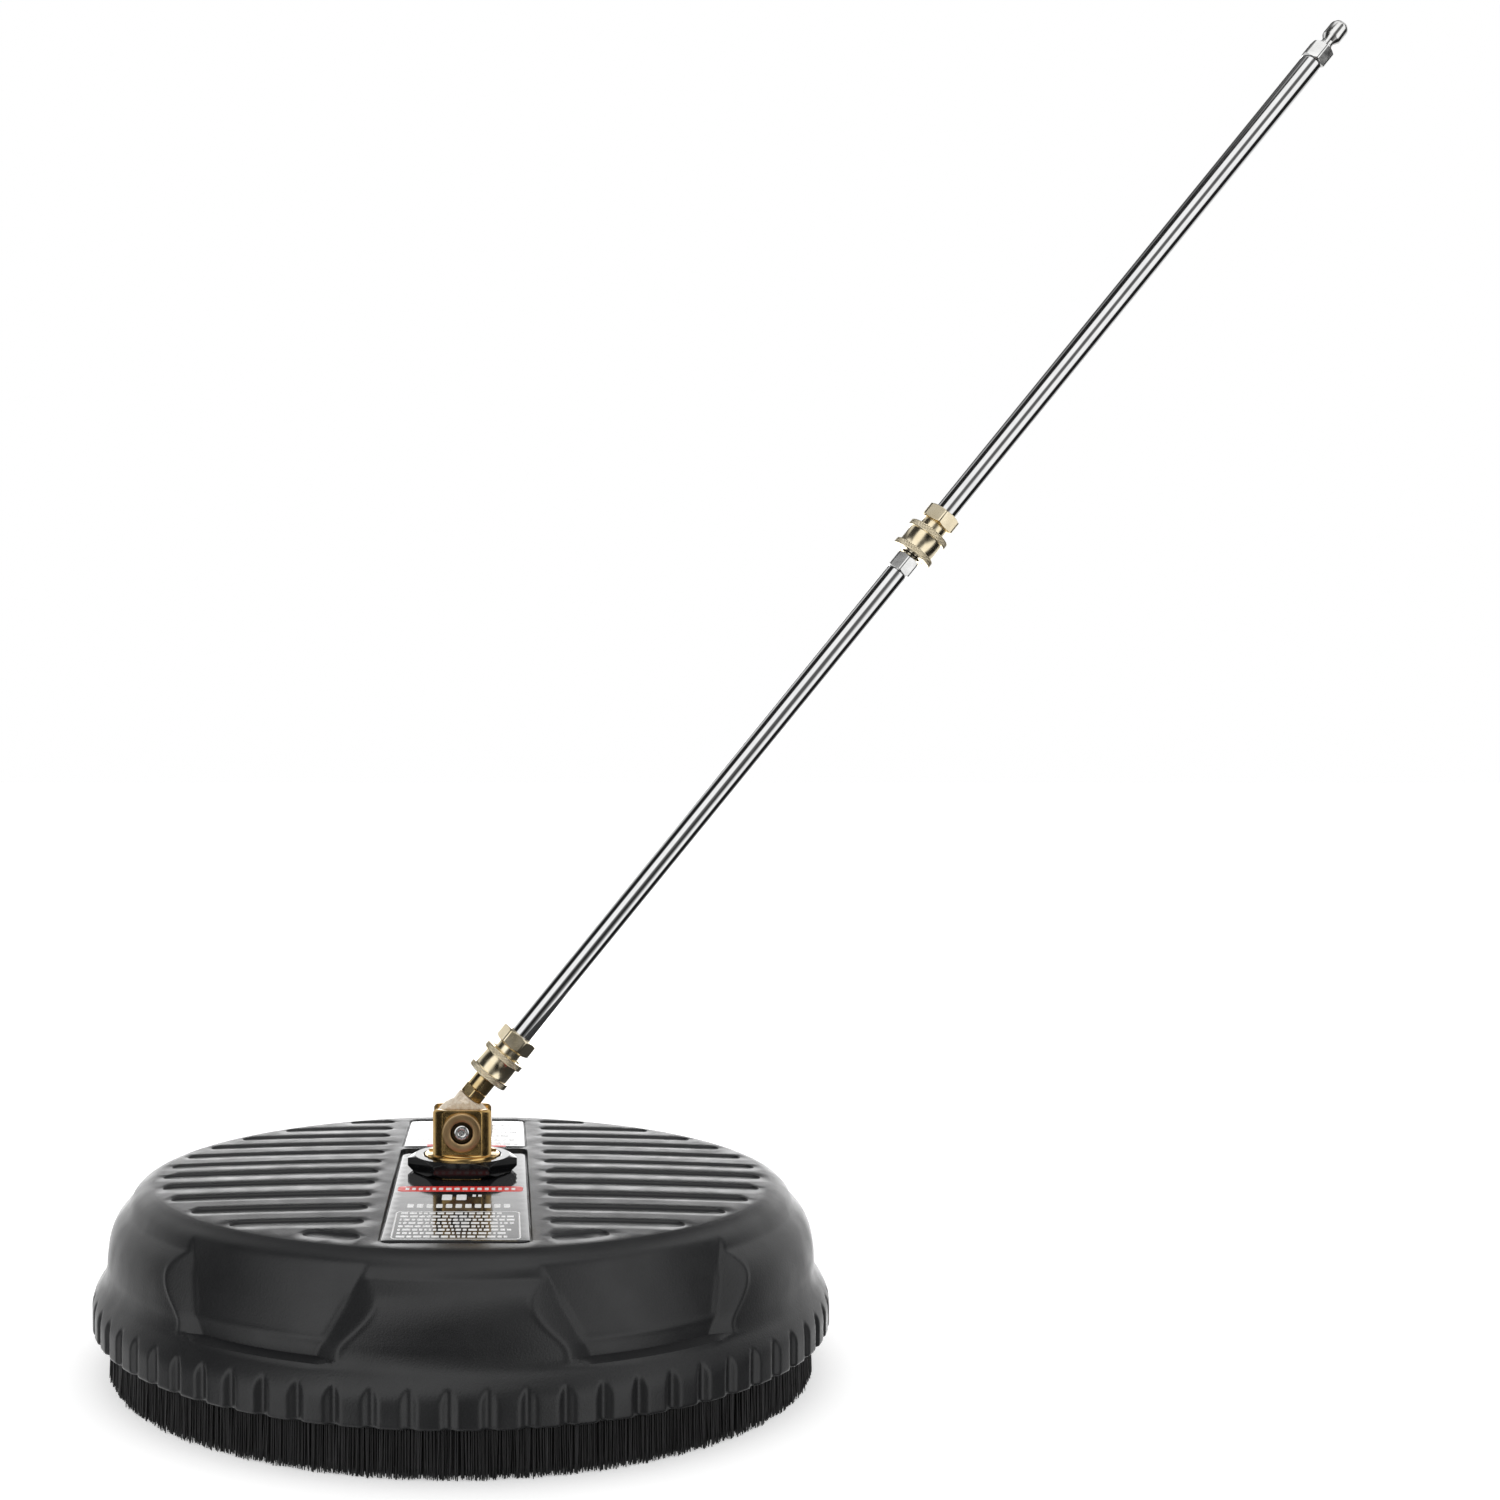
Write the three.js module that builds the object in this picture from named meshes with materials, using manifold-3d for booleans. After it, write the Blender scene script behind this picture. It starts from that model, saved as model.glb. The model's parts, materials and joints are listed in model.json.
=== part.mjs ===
// Pressure-washer surface cleaner: a round deck with a brush skirt, a spinning spray bar under it,
// and a two-piece wand on a tilting brass swivel. Millimetres, +Z up, floor at z = 0.
import * as THREE from "three";
import { mergeVertices } from "three/addons/utils/BufferGeometryUtils.js";
import Module from "manifold-3d";

const wasm = await Module();
wasm.setup();

// ---------------------------------------------------------------- driving dimensions

const GAP = 0.3;                    // clearance between touching pieces
const ROUND = 40;                   // facets round the deck
const TURNED = 16;                  // facets round the small turned pieces

// deck
const RIM_RADIUS = 199.8;
const RIM_BOTTOM = 25.7;
const RIM_TOP = 37.5;
const WALL_RADIUS = 192.1;
const DECK_TOP = 102.6;             // height of the plateau at its centre
const CROWN = 1.33e-4;              // fall of the plateau per square millimetre of radius
const PLATEAU_RADIUS = 166;
const PLATEAU_STEPS = [0, 90, PLATEAU_RADIUS];
const SHELL = 3.6;                  // wall thickness
const DECK_UNDERSIDE = 97.1;
const DECK_HOLE = 21.3;

// grooves across the plateau
const GROOVE_ROWS = 12;
const GROOVE_PITCH = 26.5;
const GROOVE_WIDTH = 11;
const GROOVE_DEPTH = 0.8;
const GROOVE_INNER = 45.5;
const GROOVE_CIRCLE = 163.2;

// label strip
const STRIP_HALF = 36.3;
const STRIP_FRONT = -157;
const STRIP_STEP = 50;
const STRIP_REAR = 152;
const FRONT_FILM = 100.3;           // height of the front label's flat face at y = 0
const FRONT_SLOPE = 0.0075;         // its rise towards the rear
const REAR_POCKET = 0.9;
const LABEL_THICK = 0.5;
const LABEL_EDGE = 1.2;             // gap between a label and its pocket's wall
const POCKET_CORNER = 6;

// recessed panels in the wall
const PANEL_ANGLES = [-29.6, 29.6, 150.4, -150.4];    // from the front, about the deck's axis
const PANEL_TOP = 88.6;
const PANEL_BOTTOM = 51.5;
const PANEL_TOP_HALF = 54;
const PANEL_BOTTOM_HALF = 39;
const PANEL_SILL = 60.4;            // lower edge of the leaning face
const PANEL_SHELF = 52.6;           // top of the shelf at the recess's foot
const PANEL_DEEP = 188.4;           // radius of the recess between the two

// brush
const BRUSH_OUTER = 189.8;
const BRUSH_INNER = 180.4;
const HOLDER_TOP = 39.5;
const HOLDER_PLATE = 3;
const HOLDER_INNER = 167;
const SCREW_CIRCLE = 172.5;
const SCREW_COUNT = 4;
const BOSS_HEIGHT = 40;
const BOSS_REACH = 180.5;           // outer end of a boss's rib

// clamp nut, swivel housing and yoke
const NUT_ACROSS_FLATS = 52.7;
const NUT_BOTTOM = 100.9;
const NUT_TOP = 109.2;
const HOUSING_RADIUS = 20.8;
const HOUSING_FLANGE = 31;
const HOUSING_BODY = 24;
const HOUSING_BOTTOM = 62;
const HOUSING_TOP = 107.2;
const SPIGOT_RADIUS = 13;
const BEARING_SEAT = 16.3;
const YOKE_RADIUS = 18;
const YOKE_TOP = 135.4;
const YOKE_FLAT = 14.5;             // the front and back flats' distance from the axis
const SLOT_HALF = 8.3;
const PIVOT_Z = 123.9;
const SLOT_FLOOR = 109.6;
const KNUCKLE_RADIUS = 13.9;       // under the pin, where it must clear the slot's floor
const KNUCKLE_BALL = 16.8;          // the rounded part that shows above the yoke
const KNUCKLE_HALF = 8;
const KNUCKLE_CUT = 4.5;            // the ball ends this far behind the pivot
const NECK = 7;
const PIN_RADIUS = 6.5;
const PIN_HEAD_RADIUS = 10.5;
const PIN_HEAD_THICK = 3.4;
const PIN_RECESS = 6;

// spray bar
const ARM_Z = 46;
const ARM_RADIUS = 5;
const NOZZLE_REACH = 148;
const NOZZLE_TILT = THREE.MathUtils.degToRad(20);
const HUB_RADIUS = 17;
const HUB_TOP = 60;
const SPINDLE_FOOT = 48.2;
const HUB_SCREW_Z = 55;

// wand: lengths are measured along its axis from the point nearest the pivot
const WAND_LEAN = THREE.MathUtils.degToRad(90 - 50.9);
const WAND_OFFSET = 7.009;              // the wand's axis passes this far from the pivot's axis
const INLET_HEX = 15.84;            // start of the inlet plug's hexagon
const FIRST_RING = 32.04;           // middle of the first coupling's lower knurled ring
const LOWER_LENGTH = 371.3;         // from one coupling to the same point of the next
const UPPER_LENGTH = 362.7;
const RING_SPACING = 13;
const RING_THICK = 3.6;
const RING_RADIUS = 12;
const SLEEVE_RADIUS = 10.25;
const NECK_RADIUS = 7.3;
const SOCKET_FLATS = 19;
const SOCKET_END = 28;              // end of the socket's hexagon, from the ring
const TUBE_RADIUS = 6;
const TUBE_BORE = 5;
const PLUG_FLATS = 13;
const PLUG_HEX_LENGTH = 10;
const NIPPLE_START = -3.5;          // where a plug's nipple begins, from the ring
const NIPPLE_LENGTH = 16.7;
const WATERWAY = 2.25;
const SPRING_WIRE = 0.42;
const SPRING_RADIUS = 8.3;
const SPRING_TURNS = 3.5;
const BALL_COUNT = 4;
const BALL_HEIGHT = 0.8;
const BALL_CIRCLE = 5.05;

// Where the wand's axis comes nearest to the pivot's axis.
const wandFoot = new THREE.Vector3(
  -WAND_OFFSET * Math.cos(WAND_LEAN),
  0,
  PIVOT_Z + WAND_OFFSET * Math.sin(WAND_LEAN),
);

// ---------------------------------------------------------------- materials

const COLOURS = {
  black_plastic: [0x26282a, 0.6, 0.0],
  nylon: [0x141414, 0.8, 0.0],
  label: [0x1c1c1e, 0.2, 0.0],
  rubber: [0x101010, 0.8, 0.0],
  brass: [0xb8924a, 0.3, 1.0],
  pale_brass: [0xcfc09a, 0.3, 1.0],
  stainless: [0xc8cacc, 0.2, 1.0],
  steel: [0x9a9da0, 0.35, 1.0],
};

function material(kind) {
  const [color, roughness, metalness] = COLOURS[kind];
  return new THREE.MeshStandardMaterial({ color, roughness, metalness });
}

// ---------------------------------------------------------------- solids

// A three.js geometry as a closed solid that can be cut and joined.
function solid(geometry) {
  const plain = geometry.clone();
  plain.deleteAttribute("normal");
  plain.deleteAttribute("uv");
  const merged = mergeVertices(plain, 1e-4);
  return new wasm.Manifold(new wasm.Mesh({
    numProp: 3,
    vertProperties: new Float32Array(merged.attributes.position.array),
    triVerts: new Uint32Array(merged.index.array),
  }));
}

function geometryOf(manifold) {
  const mesh = manifold.getMesh();
  const geometry = new THREE.BufferGeometry();
  geometry.setAttribute("position", new THREE.BufferAttribute(new Float32Array(mesh.vertProperties), 3));
  geometry.setIndex(new THREE.BufferAttribute(new Uint32Array(mesh.triVerts), 1));
  geometry.computeVertexNormals();
  return geometry;
}

// A turned piece: [radius, height] points going up the outside, from the axis to the axis,
// or a closed ring when the last point repeats the first.
function turned(points, facets = TURNED) {
  const profile = points.map(([r, z]) => new THREE.Vector2(r, z));
  return new THREE.LatheGeometry(profile, facets).rotateX(Math.PI / 2);
}

function ring(inner, outer, bottom, top, facets = TURNED) {
  return turned([[inner, bottom], [outer, bottom], [outer, top], [inner, top], [inner, bottom]], facets);
}

function rod(radius, bottom, top, facets = TURNED) {
  return turned([[0, bottom], [radius, bottom], [radius, top], [0, top]], facets);
}

function box(width, depth, height, x, y, z) {
  return new THREE.BoxGeometry(width, depth, height).translate(x, y, z);
}

// A flat outline raised from one height to another.
function prism(shape, bottom, top) {
  const options = { depth: top - bottom, bevelEnabled: false, curveSegments: 2 };
  return new THREE.ExtrudeGeometry(shape, options).translate(0, 0, bottom);
}

function hexagon(acrossFlats) {
  const shape = new THREE.Shape();
  const corner = acrossFlats / Math.sqrt(3);
  for (let i = 0; i < 6; i += 1) {
    const angle = i * Math.PI / 3;
    const place = [corner * Math.cos(angle), corner * Math.sin(angle)];
    if (i === 0) shape.moveTo(...place);
    else shape.lineTo(...place);
  }
  shape.closePath();
  return shape;
}

function roundedRectangle(x0, y0, x1, y1, radius) {
  const shape = new THREE.Shape();
  shape.moveTo(x0 + radius, y0);
  shape.lineTo(x1 - radius, y0);
  shape.absarc(x1 - radius, y0 + radius, radius, -Math.PI / 2, 0);
  shape.lineTo(x1, y1 - radius);
  shape.absarc(x1 - radius, y1 - radius, radius, 0, Math.PI / 2);
  shape.lineTo(x0 + radius, y1);
  shape.absarc(x0 + radius, y1 - radius, radius, Math.PI / 2, Math.PI);
  shape.lineTo(x0, y0 + radius);
  shape.absarc(x0 + radius, y0 + radius, radius, Math.PI, Math.PI * 1.5);
  return shape;
}

// A hexagon with its corners turned off at both ends.
function hexNut(acrossFlats, bottom, top, chamfer) {
  const corner = acrossFlats / Math.sqrt(3);
  const limit = turned([
    [0, bottom],
    [corner - chamfer, bottom],
    [corner + 0.01, bottom + chamfer * 0.6],
    [corner + 0.01, top - chamfer * 0.6],
    [corner - chamfer, top],
    [0, top],
  ], 12);
  return solid(prism(hexagon(acrossFlats), bottom, top)).intersect(solid(limit));
}

// ---------------------------------------------------------------- deck

function plateauHeight(radius) {
  return DECK_TOP - CROWN * radius * radius;
}

function outerProfile() {
  const plateau = PLATEAU_STEPS.map((r) => [r, plateauHeight(r)]);
  const shoulder = [[174, 96.6], [179, 91.6], [180.4, 87.6]];
  const bulge = [[183.6, 85.2], [188.6, 78.2], [191.4, 68], [WALL_RADIUS, 56]];
  const flare = [[194.6, 49.2], [198.6, 42.6], [RIM_RADIUS, RIM_TOP]];
  const down = [...plateau, ...shoulder, ...bulge, ...flare, [RIM_RADIUS, RIM_BOTTOM], [0, RIM_BOTTOM]];
  return down.reverse();
}

function cavityProfile() {
  return [
    [0, RIM_BOTTOM - 5],
    [RIM_RADIUS - SHELL, RIM_BOTTOM - 5],
    [RIM_RADIUS - SHELL, RIM_TOP + 3],
    [188.6, 55],
    [187.4, 69],
    [178, 84],
    [174.6, 91],
    [166, 94],
    [HOUSING_FLANGE + 8, DECK_UNDERSIDE],
    [0, DECK_UNDERSIDE],
  ];
}

// What is left standing behind a recessed panel: its leaning face, upright band and bottom shelf.
function panelBacking(inset) {
  return solid(turned([
    [0, PANEL_BOTTOM - 20],
    [210, PANEL_BOTTOM - 20],
    [WALL_RADIUS + 1 - inset, PANEL_BOTTOM],
    [PANEL_DEEP - inset, PANEL_SHELF],
    [PANEL_DEEP - inset, PANEL_SILL],
    [179.1 - inset, PANEL_TOP + 0.6],
    [150, PANEL_TOP + 20],
    [0, PANEL_TOP + 20],
  ], ROUND));
}

// A trapezium, wide at its top, pushed through the wall from outside.
function panelPrism(degrees, margin) {
  const shape = new THREE.Shape();
  shape.moveTo(-PANEL_BOTTOM_HALF - margin, PANEL_BOTTOM - margin);
  shape.lineTo(PANEL_BOTTOM_HALF + margin, PANEL_BOTTOM - margin);
  shape.lineTo(PANEL_TOP_HALF + margin, PANEL_TOP + margin);
  shape.lineTo(-PANEL_TOP_HALF - margin, PANEL_TOP + margin);
  shape.closePath();
  const geometry = prism(shape, 140, 215);
  geometry.rotateX(Math.PI / 2);
  geometry.rotateZ(THREE.MathUtils.degToRad(degrees));
  return solid(geometry);
}

// The layer between two depths under the plateau's crowned surface.
function plateauLayer(upper, lower) {
  const top = PLATEAU_STEPS.map((r) => [r, plateauHeight(r) - upper]);
  const bottom = PLATEAU_STEPS.map((r) => [r, plateauHeight(r) - lower]);
  return solid(turned([...bottom, ...top.reverse()], ROUND));
}

// A straight groove with round ends, whose floor slopes along the crown's chord.
function groove(row, side) {
  const y = (row - (GROOVE_ROWS - 1) / 2) * GROOVE_PITCH;
  const outer = Math.sqrt(GROOVE_CIRCLE ** 2 - y ** 2);
  const length = outer - GROOVE_INNER;
  const half = GROOVE_WIDTH / 2;
  const near = plateauHeight(Math.hypot(GROOVE_INNER, y));
  const slope = Math.atan((near - plateauHeight(GROOVE_CIRCLE)) / length);
  const outline = roundedRectangle(0, -half, length, half, half - 0.01);
  const cutter = prism(outline, -GROOVE_DEPTH, 8).rotateY(slope).translate(GROOVE_INNER, 0, near);
  const placed = cutter.rotateZ(side > 0 ? 0 : Math.PI);
  return solid(placed.translate(0, y, 0));
}

// A flat layer parallel to the front label's face, between two heights measured from that face.
function frontLayer(lower, upper) {
  const thick = upper - lower;
  const layer = box(120, 400, thick, 0, 0, lower + thick / 2).rotateX(Math.atan(FRONT_SLOPE));
  return solid(layer.translate(0, 0, FRONT_FILM));
}

function frontPocket() {
  const outline = roundedRectangle(-STRIP_HALF, STRIP_FRONT, STRIP_HALF, STRIP_STEP, POCKET_CORNER);
  return solid(prism(outline, 80, 120)).intersect(frontLayer(-LABEL_THICK - GAP, 9));
}

function rearPocket() {
  const outline = roundedRectangle(-STRIP_HALF, STRIP_STEP + 2, STRIP_HALF, STRIP_REAR, POCKET_CORNER);
  return solid(prism(outline, 80, 120)).intersect(plateauLayer(-5, REAR_POCKET));
}

// A screw boss under the shoulder, tied to the wall by a rib.
function screwBoss(angle) {
  const bottom = HOLDER_TOP + GAP;
  const boss = rod(6, bottom, bottom + BOSS_HEIGHT, 8).translate(SCREW_CIRCLE, 0, 0);
  const length = BOSS_REACH - SCREW_CIRCLE;
  const rib = box(length, 4, BOSS_HEIGHT, SCREW_CIRCLE + length / 2, 0, bottom + BOSS_HEIGHT / 2);
  const body = solid(boss).add(solid(rib));
  const pilot = solid(rod(2.3, bottom - 1, bottom + 18, 8).translate(SCREW_CIRCLE, 0, 0));
  return [body, pilot].map((piece) => piece.rotate([0, 0, THREE.MathUtils.radToDeg(angle)]));
}

function screwAngle(index) {
  return (index + 0.5) * 2 * Math.PI / SCREW_COUNT;
}

function deckShell() {
  let shell = solid(turned(outerProfile(), ROUND));
  let cavity = solid(turned(cavityProfile(), ROUND));
  for (const degrees of PANEL_ANGLES) {
    shell = shell.subtract(panelPrism(degrees, 0).subtract(panelBacking(0)));
    cavity = cavity.subtract(panelPrism(degrees, SHELL).subtract(panelBacking(SHELL)));
  }
  shell = shell.subtract(cavity);
  for (let i = 0; i < SCREW_COUNT; i += 1) {
    const [body, pilot] = screwBoss(screwAngle(i));
    shell = shell.add(body).subtract(pilot);
  }
  for (let row = 0; row < GROOVE_ROWS; row += 1) {
    for (const side of [-1, 1]) {
      shell = shell.subtract(groove(row, side));
    }
  }
  shell = shell.subtract(frontPocket()).subtract(rearPocket());
  shell = shell.subtract(solid(rod(DECK_HOLE, 80, 120, 36)));
  return geometryOf(shell);
}

function labelOutline(front, rear) {
  const half = STRIP_HALF - LABEL_EDGE;
  return solid(prism(roundedRectangle(-half, front + LABEL_EDGE, half, rear - LABEL_EDGE, 5), 80, 120));
}

function frontLabel() {
  const plate = labelOutline(STRIP_FRONT, STRIP_STEP).intersect(frontLayer(-LABEL_THICK, 0));
  return geometryOf(plate.subtract(solid(rod(HOUSING_RADIUS + 1.2, 80, 120, 36))));
}

// The rear label follows the crown at the bottom of its pocket.
function rearLabel() {
  const layer = plateauLayer(REAR_POCKET - GAP - LABEL_THICK, REAR_POCKET - GAP);
  return geometryOf(labelOutline(STRIP_STEP + 2, STRIP_REAR).intersect(layer));
}

// ---------------------------------------------------------------- brush

function brushHolder() {
  const plateBottom = HOLDER_TOP - HOLDER_PLATE;
  const wallBottom = RIM_BOTTOM + 1.8;
  const outer = RIM_RADIUS - SHELL - 0.6;
  let holder = solid(turned([
    [HOLDER_INNER, plateBottom],
    [BRUSH_INNER - 3.4, plateBottom],
    [BRUSH_INNER - 3.4, wallBottom],
    [BRUSH_INNER - 0.4, wallBottom],
    [BRUSH_INNER - 0.4, plateBottom],
    [BRUSH_OUTER + 0.4, plateBottom],
    [BRUSH_OUTER + 0.4, wallBottom],
    [outer, wallBottom],
    [outer, HOLDER_TOP],
    [HOLDER_INNER, HOLDER_TOP],
    [HOLDER_INNER, plateBottom],
  ], ROUND));
  for (let i = 0; i < SCREW_COUNT; i += 1) {
    const hole = rod(2.5, plateBottom - 1, HOLDER_TOP + 1, 8).translate(SCREW_CIRCLE, 0, 0);
    holder = holder.subtract(solid(hole.rotateZ(screwAngle(i))));
  }
  return geometryOf(holder);
}

function brushSkirt() {
  return ring(BRUSH_INNER, BRUSH_OUTER, 0, HOLDER_TOP - HOLDER_PLATE - GAP, ROUND);
}

function brushScrew(index) {
  const seat = HOLDER_TOP - HOLDER_PLATE - GAP;
  const screw = turned([
    [0, seat - 2.4],
    [3, seat - 2.4],
    [4, seat - 1.4],
    [4, seat],
    [2, seat],
    [2, seat + 17.8],
    [0, seat + 17.8],
  ], 8);
  return screw.translate(SCREW_CIRCLE, 0, 0).rotateZ(screwAngle(index));
}

// ---------------------------------------------------------------- clamp nut and swivel housing

function clampNut() {
  const nut = hexNut(NUT_ACROSS_FLATS, NUT_BOTTOM, NUT_TOP, 2.6);
  return geometryOf(nut.subtract(solid(rod(HOUSING_RADIUS + 0.4, 90, 120, 36))));
}

function housingGasket() {
  return ring(HOUSING_RADIUS + 0.6, HOUSING_FLANGE - 1, DECK_UNDERSIDE - 1.8, DECK_UNDERSIDE - GAP, 24);
}

function swivelHousing() {
  return turned([
    [SPIGOT_RADIUS + GAP, HOUSING_TOP],
    [SPIGOT_RADIUS + GAP, 92],
    [5, 92],
    [5, 88],
    [9.3, 88],
    [9.3, 83],
    [BEARING_SEAT, 83],
    [BEARING_SEAT, 65.6],
    [BEARING_SEAT + 1, 65.6],
    [BEARING_SEAT + 1, 64.2],
    [BEARING_SEAT, 64.2],
    [BEARING_SEAT, HOUSING_BOTTOM],
    [HOUSING_BODY, HOUSING_BOTTOM],
    [HOUSING_BODY, 89.9],
    [HOUSING_FLANGE, 89.9],
    [HOUSING_FLANGE, 95],
    [HOUSING_RADIUS, 95],
    [HOUSING_RADIUS, HOUSING_TOP],
    [SPIGOT_RADIUS + GAP, HOUSING_TOP],
  ], 24);
}

// The fork that carries the pivot: a spigot, a round flange, and two cheeks with outer flats.
function pivotYoke() {
  let yoke = solid(turned([
    [0, 92.5],
    [SPIGOT_RADIUS, 92.5],
    [SPIGOT_RADIUS, HOUSING_TOP + GAP],
    [HOUSING_RADIUS - 0.2, HOUSING_TOP + GAP],
    [HOUSING_RADIUS - 0.2, 109.8],
    [HOUSING_RADIUS - 0.8, 110.4],
    [YOKE_RADIUS, 110.4],
    [YOKE_RADIUS, YOKE_TOP - 1.5],
    [YOKE_RADIUS - 1.8, YOKE_TOP],
    [0, YOKE_TOP],
  ], 36));
  for (const side of [-1, 1]) {
    yoke = yoke.subtract(solid(box(60, 20, 40, 0, side * (YOKE_FLAT + 10), 131)));
  }
  yoke = yoke.subtract(solid(box(60, SLOT_HALF * 2, 40, 0, 0, SLOT_FLOOR + 20)));
  yoke = yoke.subtract(alongY(rod(PIN_RADIUS + GAP, -20, 20)));
  const waterway = rod(WATERWAY, 90, PIVOT_Z, 10).translate(0, (SLOT_HALF + YOKE_FLAT) / 2, 0);
  return geometryOf(yoke.subtract(solid(waterway)));
}

// Lays an upright piece along Y through the pivot's axis; its top faces the rear.
function layAlongY(geometry) {
  return geometry.rotateX(-Math.PI / 2).translate(0, 0, PIVOT_Z);
}

function alongY(geometry) {
  return solid(layAlongY(geometry));
}

function pivotPin() {
  const face = -YOKE_FLAT - GAP;
  const pin = solid(turned([
    [0, face - PIN_HEAD_THICK],
    [PIN_HEAD_RADIUS - 0.5, face - PIN_HEAD_THICK],
    [PIN_HEAD_RADIUS, face - PIN_HEAD_THICK + 0.5],
    [PIN_HEAD_RADIUS, face],
    [PIN_RADIUS, face],
    [PIN_RADIUS, -4.2],
    [5.3, -4.2],
    [5.3, -2.6],
    [PIN_RADIUS, -2.6],
    [PIN_RADIUS, 4.6],
    [5.3, 4.6],
    [5.3, 6.2],
    [PIN_RADIUS, 6.2],
    [PIN_RADIUS, YOKE_FLAT + 0.4],
    [5.2, YOKE_FLAT + 0.4],
    [5.2, YOKE_FLAT + 2],
    [PIN_RADIUS, YOKE_FLAT + 2],
    [PIN_RADIUS, YOKE_FLAT + 3],
    [0, YOKE_FLAT + 3],
  ]));
  const recess = solid(rod(PIN_RECESS, face - PIN_HEAD_THICK - 1, face - 0.6));
  const thread = solid(rod(2.8, face - 5, face + 8, 12));
  const waterway = solid(rod(WATERWAY, -1, 13, 10));
  const fromYoke = solid(box(3, 20, 3, 0, -10, (SLOT_HALF + YOKE_FLAT) / 2));
  const toKnuckle = solid(box(3, 20, 3, 0, -10, 1));
  const drilled = pin.subtract(recess).subtract(thread).subtract(waterway);
  return layAlongY(geometryOf(drilled.subtract(fromYoke).subtract(toKnuckle)));
}

function pivotScrew() {
  const face = -YOKE_FLAT - GAP;
  const screw = solid(turned([
    [0, face - 2.8],
    [3.7, face - 2.8],
    [4.2, face - 2.3],
    [4.2, face - 0.9],
    [2.5, face - 0.9],
    [2.5, face + 7],
    [0, face + 7],
  ], 18));
  const socket = solid(prism(hexagon(3.4), face - 5, face - 1.4));
  return layAlongY(geometryOf(screw.subtract(socket)));
}

function pinSeal(y) {
  const torus = new THREE.TorusGeometry(5.95, 0.5, 5, 16);
  return layAlongY(torus.translate(0, 0, y));
}

function pinCirclip() {
  const plate = solid(ring(5.5, 8.6, YOKE_FLAT + 0.75, YOKE_FLAT + 1.65, 20));
  return layAlongY(geometryOf(plate.subtract(solid(box(2.4, 12, 4, 0, 8, YOKE_FLAT + 1.2)))));
}

// ---------------------------------------------------------------- spray bar

function bearing(bottom) {
  return ring(8.4, BEARING_SEAT - GAP, bottom, bottom + 7.6, 24);
}

function spindle() {
  return turned([
    [WATERWAY, SPINDLE_FOOT],
    [7, SPINDLE_FOOT],
    [7, 60.3],
    [9.6, 60.3],
    [9.6, 66.4],
    [8.1, 66.4],
    [8.1, 82.7],
    [4.6, 82.7],
    [4.6, 87.4],
    [WATERWAY, 87.4],
    [WATERWAY, SPINDLE_FOOT],
  ], 24);
}

function rotorHub() {
  const bottom = ARM_Z - 8;
  let hub = solid(turned([
    [0, bottom],
    [HUB_RADIUS - 1.5, bottom],
    [HUB_RADIUS, bottom + 1.5],
    [HUB_RADIUS, HUB_TOP - 1.5],
    [HUB_RADIUS - 1.5, HUB_TOP],
    [0, HUB_TOP],
  ], 24));
  hub = hub.subtract(solid(rod(7.3, SPINDLE_FOOT - 0.4, HUB_TOP + 10, 24)));
  hub = hub.subtract(solid(rod(2.6, ARM_Z, SPINDLE_FOOT, 12)));
  hub = hub.subtract(solid(layAlongX(rod(2.8, -30, 30, 12))));
  for (const turn of [0, Math.PI]) {
    hub = hub.subtract(solid(layAlongX(rod(ARM_RADIUS + GAP, 8, 30)).rotateZ(turn)));
  }
  const screwHole = rod(2.3, -30, -6.5, 12).rotateX(-Math.PI / 2).translate(0, 0, HUB_SCREW_Z);
  return geometryOf(hub.subtract(solid(screwHole)));
}

// Lays an upright piece along X at the height of the spray arms.
function layAlongX(geometry) {
  return geometry.rotateY(Math.PI / 2).translate(0, 0, ARM_Z);
}

function hubScrew() {
  return rod(2, -HUB_RADIUS + 0.5, -7.6, 12).rotateX(-Math.PI / 2).translate(0, 0, HUB_SCREW_Z);
}

// The pieces of one arm are made on the +X side; the other arm is the same turned half round.
function sprayArm() {
  return layAlongX(ring(3.3, ARM_RADIUS, 8.4, NOZZLE_REACH - 5.4, 16));
}

function armNut() {
  const nut = hexNut(15, HUB_RADIUS + 0.4, HUB_RADIUS + 8, 1);
  return layAlongX(geometryOf(nut.subtract(solid(rod(ARM_RADIUS + GAP, 0, 40)))));
}

function nozzleBody() {
  const body = solid(rod(8, -9, 8, 20));
  const bore = solid(rod(3.1, -12, 0, 12));
  const seat = solid(rod(5.1, -12, -3, 16));
  const side = solid(rod(ARM_RADIUS + GAP, -20, -5.1).rotateY(Math.PI / 2));
  const link = solid(rod(2.5, -8, 0, 10).rotateY(Math.PI / 2));
  return nozzlePlace(geometryOf(body.subtract(bore).subtract(seat).subtract(side).subtract(link)));
}

function sprayNozzle() {
  const shank = solid(turned([[0, -14], [3, -14], [4.8, -10], [4.8, -3.4], [0, -3.4]], 12));
  const collar = hexNut(11, -12, -9.4, 0.6);
  return nozzlePlace(geometryOf(shank.add(collar).subtract(solid(rod(1.2, -20, 0, 8)))));
}

function nozzlePlace(geometry) {
  return geometry.rotateX(NOZZLE_TILT).translate(NOZZLE_REACH, 0, ARM_Z);
}

// ---------------------------------------------------------------- wand

// The nipple of a quick plug: collar, ball groove, cone, body and chamfer.
function nippleProfile(start) {
  return [
    [4.2, start],
    [4.2, start + 2.2],
    [3.3, start + 2.4],
    [3.3, start + 5],
    [5.25, start + 7.5],
    [5.25, start + NIPPLE_LENGTH - 2],
    [4, start + NIPPLE_LENGTH],
  ];
}

function toWand(geometry) {
  return solid(geometry.rotateY(WAND_LEAN).translate(wandFoot.x, 0, wandFoot.z));
}

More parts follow.
